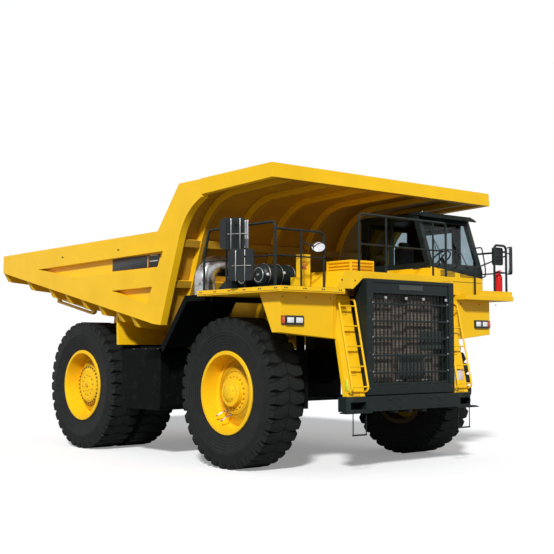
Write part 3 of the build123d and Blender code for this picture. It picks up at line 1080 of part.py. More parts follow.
# ---------------------------------------------------------------- hoist cylinders
BARREL_RADIUS, ROD_RADIUS = 105, 62
ROD_FIT = 0.5
EYE_HALF = 50


def build_hoists():
    """Two telescopic hoist cylinders, each with an eye on the frame's pin and one at the body."""
    low = Vector(HOIST_LOW_X, 0, HOIST_LOW_Z)
    high = Vector(HOIST_HIGH_X, 0, HOIST_HIGH_Z)
    direction = (high - low).normalized()
    length = (high - low).length
    for name, side in SIDES:
        middle = side * HOIST_Y
        y = Vector(0, middle, 0)
        start, gland = low + y + direction * 60, low + y + direction * (length - 170)
        barrel = rod(tuple(start), tuple(gland), BARREL_RADIUS)
        barrel = barrel - rod(tuple(low + y + direction * 140), tuple(gland + direction * 20),
                              ROD_RADIUS + ROD_FIT)
        barrel = barrel + disc_y(low.X, low.Z, HOIST_PIN_RADIUS + 42, middle - EYE_HALF, middle + EYE_HALF)
        barrel = barrel - disc_y(low.X, low.Z, HOIST_PIN_RADIUS + RUNNING_FIT, middle - 120, middle + 120)
        keep(f"hoist_barrel_{name}", barrel)
        bar = rod(tuple(low + y + direction * 150), tuple(high + y), ROD_RADIUS)
        bar = bar + disc_y(high.X, high.Z, HOIST_PIN_RADIUS + 35, middle - EYE_HALF - 15,
                           middle + EYE_HALF + 15)
        keep(f"hoist_rod_{name}", bar)


def build_all():
    build_frame()
    build_drive()
    build_wheels()
    build_steering()
    build_rear_axle()
    build_body_floor()
    build_body_sides()
    build_headboard()
    build_body_trim()
    build_nose()
    build_hood()
    build_decks()
    build_ladders()
    build_bumper()
    build_sides()
    build_cab()
    build_door()
    build_rails()
    build_mirrors()
    build_deck_fittings()
    build_hoists()


build_all()
os.makedirs("parts", exist_ok=True)
for node_name, node_shape in PARTS.items():
    export_step(node_shape, f"parts/{node_name}.step")
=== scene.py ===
"""Dress for a rigid mining dump truck: finishes, fittings, light and camera.

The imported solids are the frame, and every fitting is set against their faces. Lengths are metres, +X is
forward, +Y is the driver's left and Z = 0 is the ground.
"""
import json
import math
from functools import partial

import bpy
from mathutils import Matrix, Vector


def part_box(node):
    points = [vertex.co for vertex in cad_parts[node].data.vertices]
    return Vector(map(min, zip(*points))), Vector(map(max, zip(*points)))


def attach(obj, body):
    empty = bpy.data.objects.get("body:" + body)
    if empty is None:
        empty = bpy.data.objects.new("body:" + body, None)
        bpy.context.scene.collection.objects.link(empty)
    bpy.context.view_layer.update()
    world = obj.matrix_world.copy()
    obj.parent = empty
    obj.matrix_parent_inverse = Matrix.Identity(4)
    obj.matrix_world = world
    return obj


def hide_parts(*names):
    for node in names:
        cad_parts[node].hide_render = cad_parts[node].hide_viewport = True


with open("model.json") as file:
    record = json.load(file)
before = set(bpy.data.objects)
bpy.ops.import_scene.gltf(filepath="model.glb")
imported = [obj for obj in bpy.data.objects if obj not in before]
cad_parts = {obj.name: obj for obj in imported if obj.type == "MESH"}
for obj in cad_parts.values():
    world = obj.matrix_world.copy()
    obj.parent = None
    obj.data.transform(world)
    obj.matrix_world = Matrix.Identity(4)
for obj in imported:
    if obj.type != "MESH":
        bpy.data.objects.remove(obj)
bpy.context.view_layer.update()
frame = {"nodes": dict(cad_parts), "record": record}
NODES = frame["nodes"]

FORWARD = Vector((1, 0, 0))
RIGHTWARD = Vector((0, -1, 0))
UPWARD = Vector((0, 0, 1))


# ---------------------------------------------------------------- finishes
YELLOW = (0.97, 0.565, 0.010)
DARK_GREEN = (0.010, 0.017, 0.016)
TYRE_BLACK = (0.0065, 0.0075, 0.0072)
BLACK = (0, 0, 0)
WHITE = (1, 1, 1)
ROAD_DUST = (0.16, 0.11, 0.07)
SOFT_EDGE = 0.012
LUGS = 35


def node(tree, kind, x=0, y=0, **values):
    """Shader node of a kind; values set its properties or its input sockets."""
    made = tree.nodes.new("ShaderNode" + kind)
    made.location = (x, y)
    for key, value in values.items():
        if key in made.inputs:
            made.inputs[key].default_value = value
        else:
            setattr(made, key, value)
    return made


def surface(name, colour, roughness, metallic=0.0, **sockets):
    """New material, its tree and its shader, with plain values on the sockets."""
    material = bpy.data.materials.new(name)
    material.use_nodes = True
    shader = material.node_tree.nodes["Principled BSDF"]
    shader.inputs["Base Color"].default_value = (*colour, 1)
    shader.inputs["Roughness"].default_value = roughness
    shader.inputs["Metallic"].default_value = metallic
    for key, value in sockets.items():
        shader.inputs[key.replace("_", " ")].default_value = value
    return material, material.node_tree, shader


def object_noise(tree, scale, detail=4.0, roughness=0.55, stretch=(1, 1, 1)):
    """Noise over the piece's own coordinates."""
    coords = node(tree, "TexCoord", -1200)
    mapping = node(tree, "Mapping", -1000)
    mapping.inputs["Scale"].default_value = stretch
    noise = node(tree, "TexNoise", -800, Scale=scale, Detail=detail, Roughness=roughness)
    tree.links.new(coords.outputs["Object"], mapping.inputs["Vector"])
    tree.links.new(mapping.outputs["Vector"], noise.inputs["Vector"])
    return noise.outputs["Fac"]


def ramp(tree, source, low, high, dark, light):
    """Colour ramp between two stops, from a value."""
    made = node(tree, "ValToRGB", -500)
    first, second = made.color_ramp.elements
    first.position, second.position = low, high
    first.color, second.color = (*dark, 1), (*light, 1)
    tree.links.new(source, made.inputs["Fac"])
    return made.outputs["Color"]


def scaled(colour, factor):
    return tuple(min(1.0, part * factor) for part in colour)


def mottled(tree, colour, noise, dark, light, low=0.3, high=0.8):
    """Drift between a darker and a lighter shade of a colour, over a noise."""
    return ramp(tree, noise, low, high, scaled(colour, dark), scaled(colour, light))


def mix_colour(tree, amount, first, second):
    """Blend of two colours; each is a socket or a plain colour, and the amount is a socket."""
    made = node(tree, "Mix", -250, data_type="RGBA")
    tree.links.new(amount, made.inputs[0])
    for socket, value in ((made.inputs[6], first), (made.inputs[7], second)):
        if isinstance(value, bpy.types.NodeSocket):
            tree.links.new(value, socket)
        else:
            socket.default_value = (*value, 1)
    return made.outputs[2]


def maths(operation, tree, first, second=0.0):
    """Result of a maths node; each value is a socket or a number."""
    made = node(tree, "Math", -600, -200, operation=operation)
    for socket, value in zip(made.inputs, (first, second)):
        if isinstance(value, bpy.types.NodeSocket):
            tree.links.new(value, socket)
        else:
            socket.default_value = value
    return made.outputs[0]


plus = partial(maths, "ADD")
minus = partial(maths, "SUBTRACT")
times = partial(maths, "MULTIPLY")
sine = partial(maths, "SINE")
unsigned = partial(maths, "ABSOLUTE")
above = partial(maths, "GREATER_THAN")
below = partial(maths, "LESS_THAN")
larger = partial(maths, "MAXIMUM")


def ranged(tree, value, low=0.0, high=1.0, first=0.0, last=1.0):
    """The run of a value from low to high, made a run from first to last and held at its ends."""
    made = node(tree, "MapRange", -700, -400)
    for socket, number in zip(("From Min", "From Max", "To Min", "To Max"), (low, high, first, last)):
        made.inputs[socket].default_value = number
    tree.links.new(value, made.inputs["Value"])
    return made.outputs["Result"]


def axis_value(tree, axis, kind="Object"):
    """One axis of the piece's own coordinates, or of its own normal."""
    coords = node(tree, "TexCoord", -1200, -400)
    split = node(tree, "SeparateXYZ", -1000, -400)
    tree.links.new(coords.outputs[kind], split.inputs["Vector"])
    return split.outputs["XYZ".index(axis)]


def from_axle(tree, axle):
    """Coordinates forward of and above an axle that lies across the truck, and the distance from it."""
    across = minus(tree, axis_value(tree, "X"), axle[0])
    up = minus(tree, axis_value(tree, "Z"), axle[2])
    squares = plus(tree, times(tree, across, across), times(tree, up, up))
    return across, up, maths("SQRT", tree, squares)


def bump(tree, shader, height, strength, distance, rounded=0.0):
    """Relief on the shader's normal; rounded softens the piece's hard edges by that radius."""
    made = node(tree, "Bump", -200, -300, Strength=strength, Distance=distance)
    tree.links.new(height, made.inputs["Height"])
    if rounded:
        edge = node(tree, "Bevel", -400, -500, samples=4, Radius=rounded)
        tree.links.new(edge.outputs["Normal"], made.inputs["Normal"])
    tree.links.new(made.outputs["Normal"], shader.inputs["Normal"])


def colour_with(tree, shader, source):
    """A colour into the shader."""
    tree.links.new(source, shader.inputs["Base Color"])


def painted(name, colour, roughness=0.33, grime=0.25, coat=0.05, specular=0.18):
    """Sprayed paint: faint mottling, dust that gathers low down, orange peel and soft edges."""
    material, tree, shader = surface(name, colour, roughness, Coat_Weight=coat, Coat_Roughness=0.15,
                                     Specular_IOR_Level=specular)
    mottle = mottled(tree, colour, object_noise(tree, 1.3, 5), 0.93, 1.04, 0.35, 0.7)
    dust = ramp(tree, object_noise(tree, 7.0, 8, 0.7), 0.55, 0.9, BLACK, WHITE)
    low_down = ranged(tree, axis_value(tree, "Z"), 2.6, 0.3)
    amount = times(tree, times(tree, dust, low_down), grime)
    colour_with(tree, shader, mix_colour(tree, amount, mottle, ROAD_DUST))
    streak = ranged(tree, object_noise(tree, 3.0, 6), first=roughness - 0.08, last=roughness + 0.14)
    tree.links.new(streak, shader.inputs["Roughness"])
    bump(tree, shader, object_noise(tree, 90.0, 2), 0.06, 0.002, SOFT_EDGE)
    return material


def rubber(name, axle, tread_y):
    """Tyre rubber: moulded rings on the walls drawn lighter as painted highlight, worn tread, and grooves
    slanted either side of its middle, darkened as painted shade.
    """
    wall_end, worn_from, tread_from, crown = 1.08, 1.12, 1.20, 1.31
    material, tree, shader = surface(name, TYRE_BLACK, 0.7, Specular_IOR_Level=0.22)
    across, up, radius = from_axle(tree, axle)
    tone = ramp(tree, object_noise(tree, 4.0, 8, 0.65), 0.3, 0.75, scaled(TYRE_BLACK, 0.7),
                (0.014, 0.016, 0.016))
    worn = times(tree, ranged(tree, radius, worn_from, crown), 0.4)
    finished = mix_colour(tree, worn, tone, (0.014, 0.017, 0.016))
    rings = above(tree, sine(tree, times(tree, radius, 120.0)), 0.80)
    rings = times(tree, rings, below(tree, radius, wall_end))
    # Painted highlight: the moulded rings on the walls are drawn as lighter lines.
    finished = mix_colour(tree, times(tree, rings, 0.5), finished, (0.030, 0.033, 0.033))
    turn = times(tree, maths("ARCTAN2", tree, up, across), LUGS / (2 * math.pi))
    side = unsigned(tree, minus(tree, unsigned(tree, axis_value(tree, "Y")), tread_y))
    slanted = maths("FRACT", tree, plus(tree, turn, times(tree, side, 1.7)))
    grooves = below(tree, unsigned(tree, minus(tree, slanted, 0.5)), 0.10)
    grooves = larger(tree, grooves, below(tree, side, 0.012))
    grooves = times(tree, grooves, above(tree, radius, tread_from))
    # Painted shade: the grooves are darkened to near black.
    finished = mix_colour(tree, times(tree, grooves, 0.9), finished, (0.002, 0.002, 0.002))
    colour_with(tree, shader, finished)
    grain = times(tree, object_noise(tree, 45.0, 6, 0.7), 0.5)
    relief = minus(tree, plus(tree, rings, grain), times(tree, grooves, 3.0))
    bump(tree, shader, relief, 0.6, 0.010, 0.014)
    return material


def cast_metal(name, colour, roughness=0.55):
    """Rough casting: uneven tone and a grainy skin."""
    material, tree, shader = surface(name, colour, roughness, 0.3)
    colour_with(tree, shader, mottled(tree, colour, object_noise(tree, 5.0, 8, 0.6), 0.6, 1.6, 0.3, 0.75))
    bump(tree, shader, object_noise(tree, 70.0, 4), 0.2, 0.004, 0.008)
    return material


def bright_metal(name, colour=(0.62, 0.63, 0.64), roughness=0.18, stain=None):
    """Bare metal with fine grinding marks, and brown heat stain where asked for."""
    material, tree, shader = surface(name, colour, roughness, 1.0)
    tone = mottled(tree, colour, object_noise(tree, 12.0, 4), 0.85, 1.1)
    if stain:
        spots = ramp(tree, object_noise(tree, 3.5, 7, 0.7), 0.48, 0.62, BLACK, WHITE)
        tone = mix_colour(tree, spots, tone, stain)
    colour_with(tree, shader, tone)
    bump(tree, shader, object_noise(tree, 120.0, 2, stretch=(1, 1, 8)), 0.04, 0.001)
    return material


def plastic(name, colour, roughness=0.5, **sockets):
    """Moulded plastic: slight variation and a fine grain."""
    material, tree, shader = surface(name, colour, roughness, **sockets)
    colour_with(tree, shader, mottled(tree, colour, object_noise(tree, 8.0, 6), 0.8, 1.3))
    bump(tree, shader, object_noise(tree, 160.0, 3), 0.15, 0.001, 0.006)
    return material


def woven(name, colour):
    """Seat cloth: crossed threads over the piece's own coordinates, with soft sheen."""
    threads = 1400.0
    material, tree, shader = surface(name, colour, 0.9, Sheen_Weight=0.3)
    warp = sine(tree, times(tree, axis_value(tree, "Y"), threads))
    weft = sine(tree, times(tree, axis_value(tree, "X"), threads))
    colour_with(tree, shader, mottled(tree, colour, object_noise(tree, 30.0, 6), 0.7, 1.4))
    bump(tree, shader, times(tree, warp, weft), 0.3, 0.001)
    return material


def tread_plate(name, colour):
    """Non-slip plate: raised lozenges set crosswise in rows."""
    lozenges = 75.0
    material, tree, shader = surface(name, colour, 0.5, 0.2)
    slants = [sine(tree, times(tree, sign(tree, axis_value(tree, "X"), axis_value(tree, "Y")), lozenges))
              for sign in (plus, minus)]
    raised = above(tree, times(tree, *slants), 0.45)
    colour_with(tree, shader, mottled(tree, colour, object_noise(tree, 6.0, 8), 0.7, 1.5, 0.3, 0.75))
    bump(tree, shader, raised, 0.7, 0.003)
    return material


def tinted_glass(name, colour=(0.50, 0.58, 0.62)):
    """Thin tinted pane with a faint film of dust."""
    material, tree, shader = surface(name, colour, 0.03, IOR=1.2, Transmission_Weight=1.0)
    colour_with(tree, shader, mottled(tree, colour, object_noise(tree, 2.0, 3), 0.9, 1.1))
    return material


FRONT_AXLE = [(low + high) / 2 for low, high in zip(*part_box("tyre_front_right"))]
REAR_AXLE = [(low + high) / 2 for low, high in zip(*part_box("tyres_rear_right"))]
REAR_TYRE_SHIFT = 0.386

FINISH = {
    "yellow_paint": painted("machine_yellow", YELLOW),
    "dark_paint": painted("frame_green_black", DARK_GREEN, 0.36, 0.6),
    "axle_black": cast_metal("axle_casting", (0.016, 0.018, 0.019)),
    "tyre_rubber": rubber("tyre_rubber", FRONT_AXLE, abs(FRONT_AXLE[1])),
    "dark_plastic": plastic("dark_moulding", (0.011, 0.014, 0.015), Specular_IOR_Level=0.3),
    "core_grey": cast_metal("radiator_fins", (0.20, 0.165, 0.135), 0.6),
    "engine_iron": cast_metal("engine_iron", (0.03, 0.03, 0.03)),
    "bright_steel": bright_metal("ground_rod"),
    "duct_steel": bright_metal("duct_steel", (0.55, 0.56, 0.57), 0.3, (0.10, 0.055, 0.03)),
    "cab_glass": tinted_glass("tinted_glass"),
    "seat_cloth": woven("seat_fabric", (0.03, 0.032, 0.036)),
    "red_paint": painted("safety_red", (0.62, 0.012, 0.010)),
    "lamp_lens": plastic("lamp_housing", (0.02, 0.02, 0.02), 0.4),
}
REAR_RUBBER = rubber("tyre_rubber_rear", REAR_AXLE, abs(REAR_AXLE[1]) + REAR_TYRE_SHIFT)
LAMP_WHITE = plastic("lamp_glass", (0.86, 0.87, 0.88), 0.08, Coat_Weight=0.6)
LAMP_AMBER = plastic("marker_amber", (0.75, 0.10, 0.015), 0.12, Coat_Weight=0.6)
BARE_STEEL = bright_metal("zinc_plating", (0.55, 0.55, 0.53), 0.35)
MIRROR_GLASS = bright_metal("mirror_glass", (0.85, 0.87, 0.9), 0.03)
BLACK_RUBBER = plastic("window_rubber", (0.010, 0.011, 0.012), 0.75)
STRIPE_BLACK = plastic("side_panel_black", (0.012, 0.016, 0.020), 0.4)
STRIPE_ORANGE = plastic("side_stripe", (0.80, 0.33, 0.06), 0.4)
PALE_PLATE = plastic("pale_plate", (0.72, 0.66, 0.66), 0.5)
REFLECTOR = plastic("reflector_strip", (0.72, 0.80, 0.05), 0.25, Coat_Weight=0.5)
NON_SLIP = tread_plate("non_slip_plate", (0.020, 0.024, 0.026))
PLATE_GREY = painted("core_plate_grey", (0.060, 0.070, 0.068), 0.5)
# Painted shade: a darker copy of the machine yellow, for bolts and ring lines on the rims.
RIM_YELLOW_SHADE = painted("rim_bolt_yellow_painted_shade", (0.72, 0.40, 0.012), 0.45, 0.6)
RIM_SHADE = painted("rim_bolt_brown", (0.16, 0.085, 0.012), 0.5, 0.6)
SEAM_SHADE = painted("seam_shade", (0.52, 0.25, 0.012), 0.5)


def paint_to_change(name, colour, roughness, grime=0.25):
    """Painted finish with its tree and shader, and the colour that reaches the shader so far."""
    material = painted(name, colour, roughness, grime)
    tree = material.node_tree
    shader = tree.nodes["Principled BSDF"]
    return material, tree, shader, shader.inputs["Base Color"].links[0].from_socket


def rim_yellow_with_painted_shade(name, axle):
    """Yellow wheel paint with painted shade: brown in the deep of the dish, broken up by noise, and near
    black on the wheel's inner side.
    """
    dish_radius, dish_edge = 0.44, 0.02
    material, tree, shader, clean = paint_to_change(name, YELLOW, 0.4, 0.5)
    radius = from_axle(tree, axle)[2]
    away = unsigned(tree, minus(tree, radius, dish_radius))
    near = larger(tree, minus(tree, 1.0, times(tree, away, 6.5)), 0.0)
    # Painted shade: brown in the deep of the dish.
    patch = times(tree, times(tree, near, object_noise(tree, 2.2, 4)), 1.15)
    blend = mix_colour(tree, patch, clean, (0.16, 0.075, 0.018))
    # Painted shade: the wheel's inner side is near black.
    inner_side_shade = below(tree, unsigned(tree, axis_value(tree, "Y")), abs(axle[1]) - dish_edge)
    blend = mix_colour(tree, times(tree, inner_side_shade, 0.92), blend, (0.012, 0.012, 0.011))
    colour_with(tree, shader, blend)
    return material


def body_yellow_with_painted_shade():
    """Yellow paint with brown painted shade on the faces that look down, inside the body's walls."""
    wall_y = 2.64
    material, tree, shader, clean = paint_to_change("yellow_underside_painted_shade", YELLOW, 0.45)
    under = below(tree, axis_value(tree, "Z", "Normal"), -0.08)
    inner = below(tree, unsigned(tree, axis_value(tree, "Y")), wall_y)
    cloud = ranged(tree, object_noise(tree, 1.6, 6), first=0.45, last=0.9)
    amount = times(tree, times(tree, under, inner), cloud)
    # Painted shade: brown on the faces that look down.
    colour_with(tree, shader, mix_colour(tree, amount, clean, (0.17, 0.080, 0.022)))
    return material


def cab_paint():
    """Dark cab paint, with the low front panel under the windscreen in the truck's yellow."""
    panel_x, panel_top, panel_slant = 4.735, 3.66, 0.12
    material, tree, shader, dark = paint_to_change("cab_two_tone", DARK_GREEN, 0.36, 0.2)
    ahead = above(tree, axis_value(tree, "X"), panel_x)
    slant = plus(tree, axis_value(tree, "Z"), times(tree, axis_value(tree, "Y"), panel_slant))
    panel = times(tree, ahead, below(tree, slant, panel_top))
    colour_with(tree, shader, mix_colour(tree, panel, dark, YELLOW))
    return material


def dress_nodes():
    """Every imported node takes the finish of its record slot, and a few take one of their own."""
    for part in frame["record"]["subparts"]:
        mesh = NODES[part["node"]].data
        rear = part["node"].startswith("tyres_rear")
        mesh.materials.clear()
        mesh.materials.append(REAR_RUBBER if rear else FINISH[part["material_slot"]])
    # Painted shade: the tanks, mudguards, frame and deck supports under the truck take a near-black copy of
    # the frame paint.
    underbody_shade_black = painted("chassis_black_painted_shade", (0.0035, 0.0045, 0.0045), 0.6, 0.5, 0.0, 0.05)
    # Painted shade: the headboard and canopy are brown on their faces that look down.
    shaded_body_yellow = body_yellow_with_painted_shade()
    own = {"cab_shell": cab_paint(), "body_headboard": shaded_body_yellow, "body_canopy": shaded_body_yellow}
    for name in ("fuel_tank", "oil_tank", "mudguards", "frame_rails", "frame_crossmembers",
                 "deck_supports"):
        own[name] = underbody_shade_black
    # The rims take yellow paint with painted shade in the dish and on the inner side.
    for end, axle in (("front", FRONT_AXLE), ("rear", REAR_AXLE)):
        paint = rim_yellow_with_painted_shade("rim_paint_" + end, axle)
        for side in ("left", "right"):
            own["rim_" + end + "_" + side] = paint
    for name, finish in own.items():
        NODES[name].data.materials[0] = finish


# ---------------------------------------------------------------- making
def fresh():
    """Object mode, with nothing selected."""
    active = bpy.context.view_layer.objects.active
    if active and active.mode != "OBJECT":
        bpy.ops.object.mode_set(mode="OBJECT")
    bpy.ops.object.select_all(action="DESELECT")


def pick(*pieces):
    """Selects pieces, the first of them active."""
    fresh()
    for piece in pieces:
        piece.select_set(True)
    bpy.context.view_layer.objects.active = pieces[0]


def settled(name):
    """The primitive just added takes a name, and its place goes into its mesh."""
    piece = bpy.context.view_layer.objects.active
    piece.name = name
    bpy.ops.object.transform_apply(location=True, rotation=True, scale=True)
    return piece


def soften(piece, width):
    """Rounds the sharp edges and shades the rest smooth."""
    pick(piece)
    if width:
        edge = piece.modifiers.new("edge", "BEVEL")
        edge.width = width
        edge.segments = 2
        edge.limit_method = "ANGLE"
        edge.angle_limit = math.radians(35)
        bpy.ops.object.modifier_apply(modifier="edge")
    bpy.ops.object.shade_smooth_by_angle(angle=math.radians(40))
    return piece


def press(piece, margin, depth):
    """Insets the face that looks forward and pushes it in."""
    pick(piece)
    for face in piece.data.polygons:
        face.select = face.normal.dot(FORWARD) > 0.99
    bpy.ops.object.mode_set(mode="EDIT")
    bpy.ops.mesh.select_mode(type="FACE")
    bpy.ops.mesh.inset(thickness=margin, depth=0)
    bpy.ops.transform.translate(value=-FORWARD * depth)
    bpy.ops.object.mode_set(mode="OBJECT")
    return piece


def raw_slab(name, low, high):
    """Sharp block between two corners, for pieces of a few faces that repeat."""
    fresh()
    low, high = Vector(low), Vector(high)
    bpy.ops.mesh.primitive_cube_add(size=1, location=(low + high) / 2)
    bpy.context.object.scale = high - low
    return settled(name)


def slab(name, low, high, edge=0.003):
    """Rounded block between two corners."""
    return soften(raw_slab(name, low, high), edge)


def barrel(name, start, end, radius, sides=20, edge=0.0):
    """Round bar between two points."""
    fresh()
    start, end = Vector(start), Vector(end)
    run = end - start
    bpy.ops.mesh.primitive_cylinder_add(vertices=sides, radius=radius, depth=run.length,
                                        location=(start + end) / 2,
                                        rotation=run.to_track_quat("Z", "Y").to_euler())
    return soften(settled(name), edge)


def ring(name, centre, axis, radius, thickness, sides=48, section=6):
    """Round ring about an axis."""
    fresh()
    bpy.ops.mesh.primitive_torus_add(major_radius=radius, minor_radius=thickness, major_segments=sides,
                                     minor_segments=section, location=centre,
                                     rotation=Vector(axis).to_track_quat("Z", "Y").to_euler())
    return soften(settled(name), 0)


def tube(name, points, radius, section=2):
    """Bent pipe or wire that follows a smooth line with these control points."""
    fresh()
    path = bpy.data.curves.new(name, "CURVE")
    path.dimensions = "3D"
    path.bevel_depth = radius
    path.bevel_resolution = section
    path.use_fill_caps = True
    line = path.splines.new("NURBS")
    line.points.add(len(points) - 1)
    for spot, place in zip(line.points, points):
        spot.co = (*place, 1)
    line.use_endpoint_u = True
    line.order_u = 3
    line.resolution_u = 6
    piece = bpy.data.objects.new(name, path)
    bpy.context.scene.collection.objects.link(piece)
    pick(piece)
    bpy.ops.object.convert(target="MESH")
    return soften(bpy.context.object, 0)


def merged(name, pieces):
    """Pieces joined into one."""
    pick(*pieces)
    if len(pieces) > 1:
        bpy.ops.object.join()
    piece = bpy.context.object
    piece.name = name
    return piece


def moved(*offsets):
    """Matrices for plain moves."""
    return [Matrix.Translation(Vector(offset)) for offset in offsets]


def row(count, x=0, y=0, z=0):
    """Matrices for a row, each place one step on from the last."""
    return moved(*[(x * i, y * i, z * i) for i in range(count)])


def spread(piece, name, places):
    """A copy of a piece at each place, given as matrices, all joined into one; the first goes."""
    copies = []
    for place in places:
        copy = piece.copy()
        copy.data = piece.data.copy()
        copy.data.transform(place)
        bpy.context.scene.collection.objects.link(copy)
        copies.append(copy)
    bpy.data.objects.remove(piece)
    return merged(name, copies)


def flipped(piece, name):
    """Mirror copy across the middle plane, with its faces outward."""
    copy = piece.copy()
    copy.data = piece.data.copy()
    copy.name = name
    copy.data.transform(Matrix.Scale(-1, 4, (0, 1, 0)))
    copy.data.flip_normals()
    bpy.context.scene.collection.objects.link(copy)
    return copy


def give(piece, finish, slot, body="chassis"):
    """The piece's finish and the body it rides on; the slot argument is not used."""
    piece.data.materials.clear()
    piece.data.materials.append(finish)
    for face in piece.data.polygons:
        face.material_index = 0
    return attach(piece, body)


steel = partial(give, finish=BARE_STEEL, slot="bright_steel")
black_trim = partial(give, finish=STRIPE_BLACK, slot="dark_paint")
green_trim = partial(give, finish=FINISH["dark_paint"], slot="dark_paint")
gasket_black = partial(give, finish=BLACK_RUBBER, slot="dark_plastic")
shaded_seam = partial(give, finish=SEAM_SHADE, slot="yellow_paint")


def both_sides(piece, finish, slot, right="chassis", left=None):
    """A right-hand piece and its mirror copy, each finished, named for its side and on its body."""
    name = piece.name
    give(flipped(piece, name + "_left"), finish, slot, left or right)
    piece.name = name + "_right"
    give(piece, finish, slot, right)


def corners(name):
    """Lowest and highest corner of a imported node."""
    return [Vector(corner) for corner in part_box(name)]


def hex_bolt(name, centre, radius, proud, way):
    """Hexagon head with a washer, standing proud of a face."""
    start = Vector(centre)
    washer = barrel(name + "_washer", start - way * 0.004, start + way * 0.004, radius * 1.35, 12, 0.0015)
    head = barrel(name, start, start + way * proud, radius, 6, radius * 0.12)
    return merged(name, [head, washer])


def bolt_set(name, centre, radius, proud, way, places):
    """Like bolts at offsets from a centre, as one piece."""
    return spread(hex_bolt(name, centre, radius, proud, way), name, moved(*places))


def bolt_circle(name, centre, radius, proud, circle, count, start=0.0):
    """Bolts that look right, set round an axle that lies across the truck."""
    angles = [start + 2 * math.pi * i / count for i in range(count)]
    places = [(circle * math.cos(angle), 0, circle * math.sin(angle)) for angle in angles]
    return bolt_set(name, centre, radius, proud, RIGHTWARD, places)


# ---------------------------------------------------------------- wheels
def front_wheel_fittings():
    """Bolt circles, rings and a pair of tyre valves on the front discs."""
    x, z = FRONT_AXLE[0], FRONT_AXLE[2]
    valve_circle, valve_y = 0.44, -2.245
    disc = bolt_circle("front_disc_bolts", (x, -2.306, z), 0.017, 0.024, 0.285, 20)
    cap = bolt_circle("front_cap_bolts", (x, -2.424, z), 0.014, 0.016, 0.135, 6, 0.3)
    rings = merged("front_rim_rings", [ring("rim_ring", (x, y, z), (0, 1, 0), radius, 0.008, 72)
                                       for radius, y in ((0.372, -2.282), (0.560, -2.199), (0.672, -2.488))])
    valves = []
    for turn in (4.0, 4.3):
        out = Vector((math.cos(turn), 0, math.sin(turn)))
        foot = Vector((x, valve_y, z)) + out * valve_circle
        tip = foot + out * 0.10 + RIGHTWARD * 0.16
        valves += [barrel("valve_base", foot - RIGHTWARD * 0.03, foot + RIGHTWARD * 0.03, 0.030, 10, 0.004),
                   tube("valve_stem", [foot, foot + RIGHTWARD * 0.09, tip], 0.011),
                   barrel("valve_cap", tip, tip + RIGHTWARD * 0.03, 0.016, 8, 0.003)]
    valves = merged("front_wheel_valves", valves)
    # The bolts and ring lines take the darker yellow of painted shade.
    for piece in (disc, cap, rings):
        both_sides(piece, RIM_YELLOW_SHADE, "yellow_paint", "wheel_front_right", "wheel_front_left")
    both_sides(valves, BARE_STEEL, "bright_steel", "wheel_front_right", "wheel_front_left")


def rear_wheel_fittings():
    """Hub bolts, planet cover bolts, rings and the drain plug on the rear wheels."""
    x, z = REAR_AXLE[0], REAR_AXLE[2]
    hub = bolt_circle("rear_hub_bolts", (x, -2.318, z), 0.016, 0.022, 0.372, 28)
    cover = bolt_circle("rear_cover_bolts", (x, -2.342, z), 0.015, 0.018, 0.205, 12, 0.13)
    rings = merged("rear_rim_rings", [ring("rear_ring", (x, -2.338, z), (0, 1, 0), 0.275, 0.007, 72),
                                      ring("rear_ring", (x, -2.159, z), (0, 1, 0), 0.560, 0.010, 72)])
    plug = barrel("rear_hub_plugs", (x, -2.34, z), (x, -2.375, z), 0.05, 8, 0.006)
    # The hub bolts take the brown of painted shade, and the cover bolts and plug the darker yellow of
    # painted shade.
    for piece, finish in ((hub, RIM_SHADE), (cover, RIM_YELLOW_SHADE), (rings, FINISH["yellow_paint"]),
                          (plug, RIM_YELLOW_SHADE)):
        both_sides(piece, finish, "yellow_paint", "wheels_rear_right", "wheels_rear_left")


# ---------------------------------------------------------------- dump body
def leaning_plate(name, low, high, lean, edge=0.003):
    """Thin upright plate whose front end leans forward by a distance from foot to top."""
    plate = raw_slab(name, low, high)
    middle = (low[0] + high[0]) / 2
    for corner in plate.data.vertices:
        if corner.co.x > middle:
            corner.co.x += lean * (corner.co.z - low[2]) / (high[2] - low[2])
    return soften(plate, edge)


def body_side_trim():
    """Blank dark panel with its stripes, rail slots and weld seams, on each side of the dump body."""
    wall, rail = -2.65, -2.761
    foot, top = 3.590, 3.830
    seam = wall - 0.0015
    panel = leaning_plate("side_panel", (-0.50, wall - 0.006, foot), (1.095, wall + 0.004, top), 0.115)
    upright = slab("side_panel_mark", (0.765, wall - 0.010, foot + 0.004),
                   (0.795, wall - 0.002, top - 0.004), 0.001)
    lines = [leaning_plate("side_panel_line", (0.84, wall - 0.010, z), (1.11, wall - 0.002, z + 0.014),
                           0.008, 0.001) for z in (3.700, 3.806)]
    # Painted shade: the rail slots are thin dark sheets on the rail face.
    slots = [slab("rail_slot", (x - 0.035, rail - 0.004, 3.970), (x + 0.035, rail, 4.000), 0.001)
             for x in (-2.338, -0.109)]
    seams = [tube("weld", [(x, seam, 3.885) for x in (-4.9, -1.0, 1.9)], 0.006, 1),
             tube("weld", [(1.262, seam, z) for z in (2.75, 3.2, 3.86)], 0.006, 1)]
    both_sides(panel, STRIPE_BLACK, "dark_paint", "dump_body")
    both_sides(upright, STRIPE_ORANGE, "yellow_paint", "dump_body")
    both_sides(merged("side_panel_lines", lines), PALE_PLATE, "yellow_paint", "dump_body")
    both_sides(merged("rail_slots", slots), STRIPE_BLACK, "dark_paint", "dump_body")
    both_sides(merged("side_welds", seams), FINISH["yellow_paint"], "yellow_paint", "dump_body")


